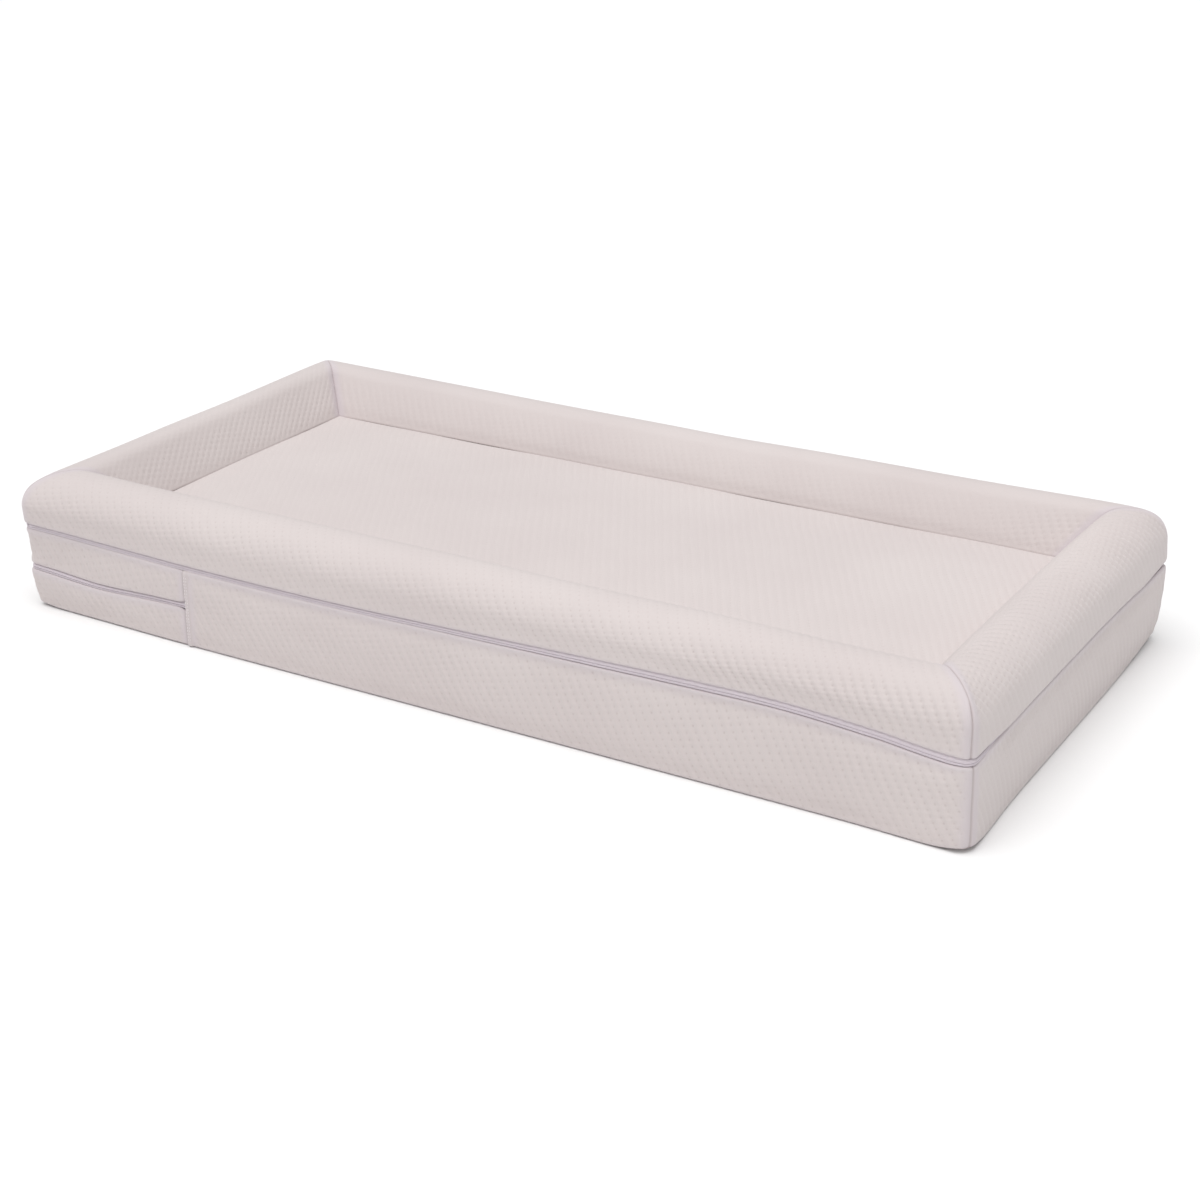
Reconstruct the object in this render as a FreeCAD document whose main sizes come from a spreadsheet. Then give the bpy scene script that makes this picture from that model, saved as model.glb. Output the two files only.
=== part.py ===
import FreeCAD, Part
import math
import os
import re
import Sketcher

# A changing pad in two zipped layers, in millimetres.
# The base is a foam cushion with its own U-shaped zip round the left end.
# The tray on top of it has a recessed floor inside four mitred foam rails.
# A zip all round joins the two at mid height.
# +X runs along the length, +Y to the back, +Z up; the origin is the middle of the underside.

document = FreeCAD.newDocument("ChangingPad")

# ---------------------------------------------------------------- driving dimensions

SIZES = {
    "pad_length": (810, "outside length, left end to right end"),
    "pad_width": (400, "outside width, front to back"),
    "pad_height": (114, "underside to the crest of the rails"),
    "corner_radius": (6, "upright outer corners of the cover"),
    "cover_gauge": (3.5, "thickness of the quilted cover"),
    "lining_gauge": (1.2, "thickness of the thin lining under the tray"),
    "floor_height": (78, "top of the recessed floor"),
    "rail_foot": (63, "outer wall to the seam round the floor"),
    "crest_inset": (28.6, "outer wall to the crest, and the outer crest radius"),
    "crest_inner_radius": (15, "crest radius towards the floor"),
    "zip_height": (65, "centre line of the zip all round"),
    "end_zip_height": (33, "centre line of the zip round the left end"),
    "zip_opening": (7, "height between the two cover edges at a zip"),
    "end_opening": (165, "left end to the strip where the end zip stops"),
    "strip_width": (4, "width of the upright seam strips"),
    "layer_gap": (0.5, "clearance between base and tray"),
    "lining_clearance": (0.1, "tapes to the base's top panel"),
    "hardware_inset": (8.5, "outer wall to what stands clear of the sliders"),
    "foam_inset": (4.3, "outer wall to the foam slabs"),
    "tape_gauge": (0.6, "thickness of the zip tape"),
    "tape_gap": (1.2, "gap between the two tapes of a zip"),
    "tape_width": (8.4, "width of one tape, most of it sewn in"),
    "coil_gap": (1.4, "gap between the two coils of a zip"),
    "coil_width": (1.5, "height of one coil on the side of the pad"),
    "coil_depth": (2.0, "depth of a coil behind its tape"),
    "coil_break": (15, "stretch of upper coil left out where the slider parks"),
    "slider_length": (9, "zip slider, along the zip"),
    "slider_width": (6.2, "zip slider, across the zip"),
    "slider_tail_width": (5.4, "zip slider's narrow end, across the zip"),
    "slider_plate": (1.2, "thickness of each slider plate"),
    "slider_clearance": (0.15, "slider to tape and coil"),
    "slider_flange": (0.7, "thickness of the slider's side flanges"),
    "neck_setback": (0.5, "slider's shoulders to the post that joins its plates"),
    "neck_length": (3, "post that joins the slider plates, along the zip"),
    "neck_width": (0.8, "post that joins the slider plates, across the zip"),
    "bail_length": (6, "loop that holds the pull, along the zip"),
    "bail_width": (1.2, "loop that holds the pull, across the zip"),
    "bail_bar": (0.7, "thickness of the loop"),
    "bail_space": (1.3, "height inside the loop"),
    "pull_bar": (0.9, "diameter of the pull's cross bar"),
    "pull_reach": (22, "cross bar to the tip of the pull"),
    "pull_shoulder": (4.4, "cross bar to where the pull's plate starts"),
    "pull_width": (5, "pull, across its plate"),
    "pull_eye": (2, "opening between the pull's arms"),
    "pull_arm_root": (1, "length of each arm inside the pull's plate"),
    "pull_arms": (4, "pull, across its two arms"),
    "pull_hole": (1.3, "radius of the hole near the pull's tip"),
    "park_inset": (25, "left end to the main slider at rest"),
    "end_park": (10, "seam strip to the end slider at rest"),
}

sheet = document.addObject("Spreadsheet::Sheet", "Sizes")
for row, (alias, (value, meaning)) in enumerate(SIZES.items(), start=1):
    sheet.set(f"A{row}", meaning)
    sheet.set(f"B{row}", str(value))
    sheet.setAlias(f"B{row}", alias)
document.recompute()

nodes = []


def formula(text):
    """An expression in plain alias words, as the document's own expression."""

    def in_sheet(word):
        return "Sizes." + word.group() if word.group() in SIZES else word.group()

    return re.sub(r"[a-z_]+", in_sheet, text)


def bind(item, **properties):
    """Bind properties to expressions; a double underscore in a name stands for a dot."""
    for name, text in properties.items():
        item.setExpression(name.replace("__", "."), formula(text))


def size(alias):
    """A driving dimension, read back from the sheet."""
    return float(sheet.get(alias))


def node(item, label):
    """Mark an object as a finished sub-part of that name."""
    item.Label = label
    nodes.append(item)
    return item


# ---------------------------------------------------------------- building blocks


def box(name, low, high):
    """A block between two corners, each three expressions."""
    block = document.addObject("Part::Box", name)
    for side, axis, start, end in zip(("Length", "Width", "Height"), "xyz", low, high):
        block.setExpression(side, formula(f"({end}) - ({start})"))
        block.setExpression(f"Placement.Base.{axis}", formula(start))
    return block


def centred_box(name, inset, bottom, top):
    """A block over the whole pad, that far inside its outer walls."""
    half_length = f"pad_length / 2 - ({inset})"
    half_width = f"pad_width / 2 - ({inset})"
    return box(name, (f"-({half_length})", f"-({half_width})", bottom), (half_length, half_width, top))


def cut(name, base, tool):
    item = document.addObject("Part::Cut", name)
    item.Base = base
    item.Tool = tool
    return item


def common(name, *shapes):
    item = document.addObject("Part::MultiCommon", name)
    item.Shapes = list(shapes)
    return item


def fuse(name, *shapes):
    item = document.addObject("Part::MultiFuse", name)
    item.Shapes = list(shapes)
    return item


def ring(name, inset, gauge, bottom, top):
    """A band of that thickness round all four sides."""
    outside = centred_box(name + "_outside", inset, bottom, top)
    inside = centred_box(name + "_inside", f"{inset} + {gauge}", bottom, top)
    return cut(name, outside, inside)


def end_band(name, inset, gauge, bottom, top):
    """The part of such a band that goes round the left end, from strip to strip."""
    band = ring(name + "_ring", inset, gauge, bottom, top)
    left = box(
        name + "_reach",
        ("-pad_length / 2", "-pad_width / 2", bottom),
        (STRIP_LEFT, "pad_width / 2", top),
    )
    return common(name, band, left)


def plane(body, role):
    return next(feature for feature in body.Origin.OriginFeatures if feature.Role == role)


def sketch_on(body, role, name):
    sketch = body.newObject("Sketcher::SketchObject", name)
    sketch.AttachmentSupport = (plane(body, role), [""])
    sketch.MapMode = "FlatFace"
    return sketch


def dimension(sketch, text, *constraint):
    """Add a sketch dimension whose value is bound to an expression."""
    index = sketch.addConstraint(Sketcher.Constraint(*constraint))
    sketch.setExpression(f"Constraints[{index}]", formula(text))


def polygon(sketch, points):
    """Close a chain of straight lines through the points; return the lines' indices."""
    vectors = [FreeCAD.Vector(x, y, 0) for x, y in points]
    lines = [
        sketch.addGeometry(Part.LineSegment(start, end))
        for start, end in zip(vectors, vectors[1:] + vectors[:1])
    ]
    for line, following in zip(lines, lines[1:] + lines[:1]):
        sketch.addConstraint(Sketcher.Constraint("Coincident", line, 2, following, 1))
    return lines


def pad(body, sketch, length, midplane=False):
    feature = body.newObject("PartDesign::Pad", sketch.Name + "_pad")
    feature.Profile = sketch
    feature.Midplane = midplane
    bind(feature, Length=length)
    return feature


# Places that several sub-parts share, as expressions.
STRIP_LEFT = "-pad_length / 2 + end_opening - strip_width / 2"
STRIP_RIGHT = "-pad_length / 2 + end_opening + strip_width / 2"
BASE_TOP = "zip_height - zip_opening / 2"
TRAY_EDGE = "zip_height + zip_opening / 2"
TRAY_BOTTOM = f"{BASE_TOP} + layer_gap"
RAIL_SEAT = "floor_height - cover_gauge"
TAPE_BACK = "cover_gauge + tape_gauge"

# The cover's outline seen from above, with its rounded corners.
outline_block = document.addObject("PartDesign::Body", "OutlineBlock")
outline_box = outline_block.newObject("PartDesign::AdditiveBox", "OutlineBox")
bind(outline_box, Length="pad_length", Width="pad_width", Height="pad_height")
bind(outline_block, Placement__Base__x="-pad_length / 2", Placement__Base__y="-pad_width / 2")
document.recompute()
outline_corners = outline_block.newObject("PartDesign::Fillet", "OutlineCorners")
outline_corners.Base = (
    outline_box,
    [
        f"Edge{number}"
        for number, edge in enumerate(outline_box.Shape.Edges, start=1)
        if abs(edge.tangentAt(edge.FirstParameter).z) > 0.5
    ],
)
bind(outline_corners, Radius="corner_radius")
outline_block.Tip = outline_corners


# ---------------------------------------------------------------- mitred sides

# A side's own frame has its origin on the outer wall, +Y pointing inwards and +X along the wall.
SIDES = {
    "front": (0, "0", "-pad_width / 2"),
    "right": (90, "pad_length / 2", "0"),
    "back": (180, "0", "pad_width / 2"),
    "left": (-90, "-pad_length / 2", "0"),
}


def place_on_side(item, side):
    turn, along, across = SIDES[side]
    item.Placement = FreeCAD.Placement(FreeCAD.Vector(), FreeCAD.Rotation(FreeCAD.Vector(0, 0, 1), turn))
    bind(item, Placement__Base__x=along, Placement__Base__y=across)


def mitre_wedge(side):
    """The triangular share of a short end, cut at 45 degrees from both corners."""
    wedge = document.addObject("Part::Wedge", side.title() + "Wedge")
    bind(wedge, Xmin="-pad_width / 2 - rail_foot", Xmax="pad_width / 2 + rail_foot")
    bind(wedge, Ymin="-rail_foot", Ymax="pad_width / 2", Zmin="0", Zmax="pad_height")
    bind(wedge, X2min="0", X2max="0", Z2min="0", Z2max="pad_height")
    place_on_side(wedge, side)
    return wedge


end_wedges = {side: mitre_wedge(side) for side in ("left", "right")}
both_wedges = fuse("BothWedges", *end_wedges.values())


def mitred(name, stick, side):
    """A side's stick, mitred where it meets its neighbours and rounded at the corners."""
    if side in end_wedges:
        return common(name, stick, end_wedges[side], outline_block)
    return common(name, cut(name + "_mitred", stick, both_wedges), outline_block)


def rail_chain(sketch, gauge, lowest):
    """Wall, two crest arcs and inner slope of a rail, that far inside its cover's outside."""
    top = size("pad_height")
    inset = size("crest_inset")
    inner_radius = size("crest_inner_radius")
    foot = FreeCAD.Vector(size("rail_foot"), size("floor_height"), 0)
    centre = FreeCAD.Vector(inset, top - inner_radius, 0)
    to_foot = foot - centre
    bearing = math.atan2(to_foot.y, to_foot.x) + math.acos(inner_radius / to_foot.Length)
    normal = FreeCAD.Vector(math.cos(bearing), math.sin(bearing), 0)
    wall_top = FreeCAD.Vector(gauge, top - inset, 0)
    wall = sketch.addGeometry(Part.LineSegment(FreeCAD.Vector(gauge, lowest, 0), wall_top))
    outer_centre = FreeCAD.Vector(inset, top - inset, 0)
    outer_circle = Part.Circle(outer_centre, FreeCAD.Vector(0, 0, 1), inset - gauge)
    outer_arc = sketch.addGeometry(Part.ArcOfCircle(outer_circle, math.pi / 2, math.pi))
    inner_circle = Part.Circle(centre, FreeCAD.Vector(0, 0, 1), inner_radius - gauge)
    inner_arc = sketch.addGeometry(Part.ArcOfCircle(inner_circle, bearing, math.pi / 2))
    slope_top = centre + normal * (inner_radius - gauge)
    slope = sketch.addGeometry(Part.LineSegment(slope_top, foot - normal * gauge))
    sketch.addConstraint(Sketcher.Constraint("Vertical", wall))
    sketch.addConstraint(Sketcher.Constraint("Tangent", wall, 2, outer_arc, 2))
    sketch.addConstraint(Sketcher.Constraint("Tangent", outer_arc, 1, inner_arc, 2))
    sketch.addConstraint(Sketcher.Constraint("Tangent", inner_arc, 1, slope, 1))
    return wall, outer_arc, inner_arc, slope


def outer_rail_chain(sketch, lowest, lowest_text):
    """The chain along the cover's outside, with every dimension bound."""
    chain = rail_chain(sketch, 0, lowest)
    wall, outer_arc, inner_arc, slope = chain
    sketch.addConstraint(Sketcher.Constraint("PointOnObject", wall, 1, -2))
    sketch.addConstraint(Sketcher.Constraint("Vertical", outer_arc, 1, outer_arc, 3))
    dimension(sketch, lowest_text, "DistanceY", -1, 1, wall, 1, lowest)
    dimension(sketch, "crest_inset", "Radius", outer_arc, size("crest_inset"))
    dimension(sketch, "crest_inner_radius", "Radius", inner_arc, size("crest_inner_radius"))
    dimension(sketch, "pad_height", "DistanceY", -1, 1, outer_arc, 1, size("pad_height"))
    dimension(sketch, "rail_foot", "DistanceX", -1, 1, slope, 2, size("rail_foot"))
    dimension(sketch, "floor_height", "DistanceY", -1, 1, slope, 2, size("floor_height"))
    return chain


def rail_block(side):
    """A whole rail with its cover, standing on the tray's slab."""
    body = document.addObject("PartDesign::Body", side.title() + "RailBlock")
    sketch = sketch_on(body, "YZ_Plane", side.title() + "RailSection")
    seat = size("floor_height") - size("cover_gauge")
    wall, outer_arc, inner_arc, slope = outer_rail_chain(sketch, seat, RAIL_SEAT)
    heel = FreeCAD.Vector(size("rail_foot"), seat, 0)
    drop = sketch.addGeometry(Part.LineSegment(FreeCAD.Vector(heel.x, size("floor_height"), 0), heel))
    sole = sketch.addGeometry(Part.LineSegment(heel, FreeCAD.Vector(0, seat, 0)))
    sketch.addConstraint(Sketcher.Constraint("Coincident", slope, 2, drop, 1))
    sketch.addConstraint(Sketcher.Constraint("Coincident", drop, 2, sole, 1))
    sketch.addConstraint(Sketcher.Constraint("Coincident", sole, 2, wall, 1))
    sketch.addConstraint(Sketcher.Constraint("Vertical", drop))
    sketch.addConstraint(Sketcher.Constraint("Horizontal", sole))
    pad(body, sketch, "pad_length", midplane=True)
    place_on_side(body, side)
    return body


def rail_cover(side):
    """The cover of a rail: up the outside, over the crest and down to the floor seam."""
    body = document.addObject("PartDesign::Body", side.title() + "RailCover")
    sketch = sketch_on(body, "YZ_Plane", side.title() + "CoverSection")
    gauge = size("cover_gauge")
    edge = size("zip_height") + size("zip_opening") / 2
    wall, outer_arc, inner_arc, slope = outer_rail_chain(sketch, edge, TRAY_EDGE)
    back_wall, back_outer_arc, back_inner_arc, back_slope = rail_chain(sketch, gauge, edge)
    hem_back = FreeCAD.Vector(gauge, edge, 0)
    hem = sketch.addGeometry(Part.LineSegment(hem_back, FreeCAD.Vector(0, edge, 0)))
    foot_end = sketch.getPoint(slope, 2)
    cap = sketch.addGeometry(Part.LineSegment(foot_end, sketch.getPoint(back_slope, 2)))
    sketch.addConstraint(Sketcher.Constraint("Coincident", hem, 1, back_wall, 1))
    sketch.addConstraint(Sketcher.Constraint("Coincident", hem, 2, wall, 1))
    sketch.addConstraint(Sketcher.Constraint("Horizontal", hem))
    sketch.addConstraint(Sketcher.Constraint("Coincident", cap, 1, slope, 2))
    sketch.addConstraint(Sketcher.Constraint("Coincident", cap, 2, back_slope, 2))
    sketch.addConstraint(Sketcher.Constraint("Perpendicular", cap, slope))
    sketch.addConstraint(Sketcher.Constraint("Coincident", back_outer_arc, 3, outer_arc, 3))
    sketch.addConstraint(Sketcher.Constraint("Coincident", back_inner_arc, 3, inner_arc, 3))
    sketch.addConstraint(Sketcher.Constraint("Parallel", back_slope, slope))
    dimension(sketch, "cover_gauge", "Distance", hem, gauge)
    pad(body, sketch, "pad_length", midplane=True)
    place_on_side(body, side)
    return body


# ---------------------------------------------------------------- base cushion


def base_cover():
    """Underside, top panel and the panels round the sides."""
    underside = centred_box("UndersideBlock", "0", "0", "cover_gauge")
    node(common("Underside", underside, outline_block), "base_bottom_panel")
    node(
        centred_box("BaseTop", f"{TAPE_BACK} + lining_clearance", f"{BASE_TOP} - cover_gauge", BASE_TOP),
        "base_top_panel",
    )
    for side in ("front", "back"):
        near, far = ("-pad_width / 2", "-pad_width / 2 + cover_gauge")
        if side == "back":
            near, far = ("pad_width / 2 - cover_gauge", "pad_width / 2")
        title = side.title()
        band = box(title + "Band", (STRIP_RIGHT, near, "cover_gauge"), ("pad_length / 2", far, BASE_TOP))
        node(mitred(title + "BandPanel", band, side), f"base_band_{side}")
        strip = box(title + "Strip", (STRIP_LEFT, near, "cover_gauge"), (STRIP_RIGHT, far, BASE_TOP))
        node(strip, f"seam_strip_{side}")
    right = box(
        "RightBand",
        ("pad_length / 2 - cover_gauge", "-pad_width / 2", "cover_gauge"),
        ("pad_length / 2", "pad_width / 2", BASE_TOP),
    )
    node(mitred("RightBandPanel", right, "right"), "base_band_right")
    heights = {
        "upper": ("end_zip_height + zip_opening / 2", BASE_TOP),
        "lower": ("cover_gauge", "end_zip_height - zip_opening / 2"),
    }
    for level, (bottom, top) in heights.items():
        band = end_band(f"End{level.title()}Band", "0", "cover_gauge", bottom, top)
        panel = common(f"End{level.title()}Panel", band, outline_block)
        node(panel, f"base_band_left_{level}")


def base_foam():
    """The slab, with a shallow groove that leaves room for the end zip."""
    slab = centred_box("BaseSlab", "foam_inset", "cover_gauge", f"{BASE_TOP} - cover_gauge")
    groove = end_band(
        "EndGroove",
        "foam_inset",
        "hardware_inset - foam_inset",
        "end_zip_height - zip_opening / 2",
        "end_zip_height + zip_opening / 2",
    )
    node(cut("GroovedSlab", slab, groove), "base_foam")


# ---------------------------------------------------------------- tray with raised rim


def tray():
    """Lining, slab and floor panel, then the four covered rails."""
    slab_bottom = f"{TRAY_BOTTOM} + lining_gauge"
    node(centred_box("Lining", "hardware_inset", TRAY_BOTTOM, slab_bottom), "tray_lining")
    lower_slab = centred_box("LowerSlab", "hardware_inset", slab_bottom, f"{TRAY_EDGE} + layer_gap")
    upper_slab = centred_box("UpperSlab", "foam_inset", f"{TRAY_EDGE} + layer_gap", RAIL_SEAT)
    node(fuse("TraySlab", lower_slab, upper_slab), "tray_foam")
    node(centred_box("Floor", "rail_foot", RAIL_SEAT, "floor_height"), "tray_floor_panel")
    for side in SIDES:
        cover = rail_cover(side)
        node(mitred(side.title() + "RimPanel", cover, side), f"rim_panel_{side}")
        foam = cut(side.title() + "FoamStick", rail_block(side), cover)
        node(mitred(side.title() + "RimFoam", foam, side), f"rim_foam_{side}")


# ---------------------------------------------------------------- zips


def zip_half(band, name, centre, above):
    """One tape and its coil, above or below a zip's centre line."""
    extents = {"Tape": ("cover_gauge", "tape_gauge", "tape_gap", "tape_width")}
    extents["Coil"] = (TAPE_BACK, "coil_depth", "coil_gap", "coil_width")
    made = {}
    for piece, (inset, gauge, gap, width) in extents.items():
        near = f"{gap} / 2"
        far = f"{gap} / 2 + {width}"
        bottom, top = (f"{centre} + {near}", f"{centre} + {far}")
        if not above:
            bottom, top = (f"{centre} - ({far})", f"{centre} - {near}")
        made[piece] = band(name + piece, inset, gauge, bottom, top)
    return made


def zips():
    """The zip all round and the zip round the left end."""
    lower = zip_half(ring, "MainLower", "zip_height", above=False)
    node(lower["Tape"], "main_zip_lower_tape")
    node(lower["Coil"], "main_zip_lower_coil")
    upper = zip_half(ring, "MainUpper", "zip_height", above=True)
    node(upper["Tape"], "main_zip_upper_tape")
    parking = box(
        "Parking",
        (f"{MAIN_PARK} - coil_break / 2", "pad_width / 2 - hardware_inset", "zip_height"),
        (f"{MAIN_PARK} + coil_break / 2", "pad_width / 2", TRAY_EDGE),
    )
    node(cut("MainUpperCoilBroken", upper["Coil"], parking), "main_zip_upper_coil")
    for level in ("upper", "lower"):
        half = zip_half(end_band, "End" + level.title(), "end_zip_height", above=level == "upper")
        node(half["Tape"], f"end_zip_{level}_tape")
        node(half["Coil"], f"end_zip_{level}_coil")


# ---------------------------------------------------------------- sliders and pulls

# A slider's own frame lies on the outside of the tapes: +X towards its tail, +Z out of the pad.
MAIN_PARK = "-pad_length / 2 + park_inset"
END_PARK = f"{STRIP_LEFT} - end_park"
COIL_BACK = "-(tape_gauge + coil_depth)"
BAIL_BASE = "slider_clearance + slider_plate"


def place_on_zip(item, along, height, tail_right):
    """Stand a part on the back of the pad, its own +Z to the outside and +X to the right or left."""
    turn = 0 if tail_right else 180
    upright = FreeCAD.Rotation(FreeCAD.Vector(1, 0, 0), -90)
    item.Placement = FreeCAD.Placement(
        FreeCAD.Vector(), upright.multiply(FreeCAD.Rotation(FreeCAD.Vector(0, 0, 1), turn))
    )
    bind(item, Placement__Base__x=along, Placement__Base__z=height)
    bind(item, Placement__Base__y="pad_width / 2 - cover_gauge")


def slider_plate(name, bottom, top):
    """A plate with square shoulders that narrows over its rear half to the tail."""
    body = document.addObject("PartDesign::Body", name)
    sketch = sketch_on(body, "XY_Plane", name + "Outline")
    bind(sketch, AttachmentOffset__Base__z=bottom)
    half_length = size("slider_length") / 2
    half_width = size("slider_width") / 2
    half_tail = size("slider_tail_width") / 2
    shoulders, right_side, _, tail, _, left_side = polygon(
        sketch,
        [
            (-half_length, half_width),
            (-half_length, -half_width),
            (0, -half_width),
            (half_length, -half_tail),
            (half_length, half_tail),
            (0, half_width),
        ],
    )
    sketch.addConstraint(Sketcher.Constraint("Symmetric", shoulders, 1, shoulders, 2, -1))
    sketch.addConstraint(Sketcher.Constraint("Symmetric", tail, 1, tail, 2, -1))
    sketch.addConstraint(Sketcher.Constraint("Symmetric", right_side, 2, left_side, 1, -1))
    sketch.addConstraint(Sketcher.Constraint("Horizontal", right_side))
    sketch.addConstraint(Sketcher.Constraint("PointOnObject", right_side, 2, -2))
    dimension(sketch, "slider_width", "DistanceY", shoulders, 2, shoulders, 1, 2 * half_width)
    dimension(sketch, "slider_tail_width", "DistanceY", tail, 1, tail, 2, 2 * half_tail)
    dimension(sketch, "slider_length / 2", "DistanceX", shoulders, 2, -1, 1, half_length)
    dimension(sketch, "slider_length / 2", "DistanceX", -1, 1, tail, 1, half_length)
    pad(body, sketch, f"({top}) - ({bottom})")
    return body


def slider(prefix, label, along, height, tail_right):
    """Two plates, the neck between them, side flanges round the coils and the pull's loop."""
    outer = slider_plate(prefix + "OuterPlate", "slider_clearance", BAIL_BASE)
    inner_top = f"{COIL_BACK} - slider_clearance"
    inner = slider_plate(prefix + "InnerPlate", f"{inner_top} - slider_plate", inner_top)
    neck = box(
        prefix + "Neck",
        ("-slider_length / 2 + neck_setback", "-neck_width / 2", inner_top),
        ("-slider_length / 2 + neck_setback + neck_length", "neck_width / 2", "slider_clearance"),
    )
    flange_blocks = [
        box(
            f"{prefix}{name}Flange",
            ("-slider_length / 2", low, inner_top),
            ("0", high, "-tape_gauge - slider_clearance"),
        )
        for name, low, high in (
            ("Low", "-slider_width / 2", "-slider_width / 2 + slider_flange"),
            ("High", "slider_width / 2 - slider_flange", "slider_width / 2"),
        )
    ]
    bail_top = f"{BAIL_BASE} + bail_space + bail_bar"
    bail = box(
        prefix + "Bail",
        ("-bail_length / 2", "-bail_width / 2", BAIL_BASE),
        ("bail_length / 2", "bail_width / 2", bail_top),
    )
    bail_opening = box(
        prefix + "BailOpening",
        ("-bail_length / 2 + bail_bar", "-bail_width / 2", BAIL_BASE),
        ("bail_length / 2 - bail_bar", "bail_width / 2", f"{BAIL_BASE} + bail_space"),
    )
    loop = cut(prefix + "Loop", bail, bail_opening)
    slider_solid = fuse(prefix + "Slider", outer, inner, neck, *flange_blocks, loop)
    place_on_zip(slider_solid, along, height, tail_right)
    node(slider_solid, label)


def pull(prefix, label, along, height, tail_right):
    """A cross bar held in the slider's loop, two arms and a plate with a hole near its tip."""
    middle = f"{BAIL_BASE} + bail_space / 2"
    bottom = f"{middle} - pull_bar / 2"
    top = f"{middle} + pull_bar / 2"
    arms_end = "pull_shoulder + pull_arm_root"
    bar = document.addObject("Part::Cylinder", prefix + "Bar")
    bar.Placement = FreeCAD.Placement(FreeCAD.Vector(), FreeCAD.Rotation(FreeCAD.Vector(1, 0, 0), 90))
    bind(bar, Radius="pull_bar / 2", Height="pull_arms")
    bind(bar, Placement__Base__y="pull_arms / 2", Placement__Base__z=middle)
    arms = cut(
        prefix + "Arms",
        box(prefix + "ArmBlock", ("0", "-pull_arms / 2", bottom), (arms_end, "pull_arms / 2", top)),
        box(prefix + "Eye", ("-pull_bar", "-pull_eye / 2", bottom), ("pull_shoulder", "pull_eye / 2", top)),
    )
    plate = document.addObject("PartDesign::Body", prefix + "Plate")
    sketch = sketch_on(plate, "XY_Plane", prefix + "PlateOutline")
    bind(sketch, AttachmentOffset__Base__z=bottom)
    shoulder = size("pull_shoulder")
    reach = size("pull_reach")
    half = size("pull_width") / 2
    start = FreeCAD.Vector(shoulder, 0, 0)
    end = FreeCAD.Vector(reach - half, 0, 0)
    up = FreeCAD.Vector(0, half, 0)
    left = sketch.addGeometry(Part.LineSegment(start + up, start - up))
    low = sketch.addGeometry(Part.LineSegment(start - up, end - up))
    tip_circle = Part.Circle(end, FreeCAD.Vector(0, 0, 1), half)
    tip = sketch.addGeometry(Part.ArcOfCircle(tip_circle, -math.pi / 2, math.pi / 2))
    high = sketch.addGeometry(Part.LineSegment(end + up, start + up))
    hole_circle = Part.Circle(end, FreeCAD.Vector(0, 0, 1), size("pull_hole"))
    hole = sketch.addGeometry(hole_circle)
    sketch.addConstraint(Sketcher.Constraint("Coincident", left, 2, low, 1))
    sketch.addConstraint(Sketcher.Constraint("Coincident", high, 2, left, 1))
    sketch.addConstraint(Sketcher.Constraint("Tangent", low, 2, tip, 1))
    sketch.addConstraint(Sketcher.Constraint("Tangent", tip, 2, high, 1))
    sketch.addConstraint(Sketcher.Constraint("Horizontal", low))
    sketch.addConstraint(Sketcher.Constraint("Vertical", left))
    sketch.addConstraint(Sketcher.Constraint("PointOnObject", tip, 3, -1))
    sketch.addConstraint(Sketcher.Constraint("Coincident", hole, 3, tip, 3))
    dimension(sketch, "pull_width / 2", "Radius", tip, half)
    dimension(sketch, "pull_hole", "Radius", hole, size("pull_hole"))
    dimension(sketch, "pull_shoulder", "DistanceX", -1, 1, low, 1, shoulder)
    dimension(sketch, "pull_reach - pull_width / 2", "DistanceX", -1, 1, tip, 3, end.x)
    pad(plate, sketch, "pull_bar")
    pull_solid = fuse(prefix + "Pull", bar, arms, plate)
    place_on_zip(pull_solid, along, height, tail_right)
    node(pull_solid, label)


# ---------------------------------------------------------------- assemble, check and write

base_cover()
base_foam()
tray()
zips()
for prefix, label, along, height, tail_right in (
    ("Main", "main_zip", MAIN_PARK, "zip_height", True),
    ("End", "end_zip", END_PARK, "end_zip_height", False),
):
    slider(prefix, label + "_slider", along, height, tail_right)
    pull(prefix, label + "_pull", along, height, tail_right)
document.recompute()

for item in document.Objects:
    if "Invalid" in item.State or "Error" in item.State:
        raise RuntimeError(f"{item.Label} failed to build")
for item in nodes:
    if item.Shape.isNull() or not item.Shape.isValid() or item.Shape.Volume <= 0:
        raise RuntimeError(f"{item.Label} has no valid solid")

os.makedirs("parts", exist_ok=True)
for item in nodes:
    item.Shape.exportStep(f"parts/{item.Label}.step")
    bounds = item.Shape.BoundBox
    print(
        f"{item.Label}: {len(item.Shape.Solids)} solid, {item.Shape.Volume / 1000:.2f} cm3,",
        f"x {bounds.XMin:.2f} {bounds.XMax:.2f}, y {bounds.YMin:.2f} {bounds.YMax:.2f},",
        f"z {bounds.ZMin:.2f} {bounds.ZMax:.2f}",
    )
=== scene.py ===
from collections import namedtuple
import math

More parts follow.
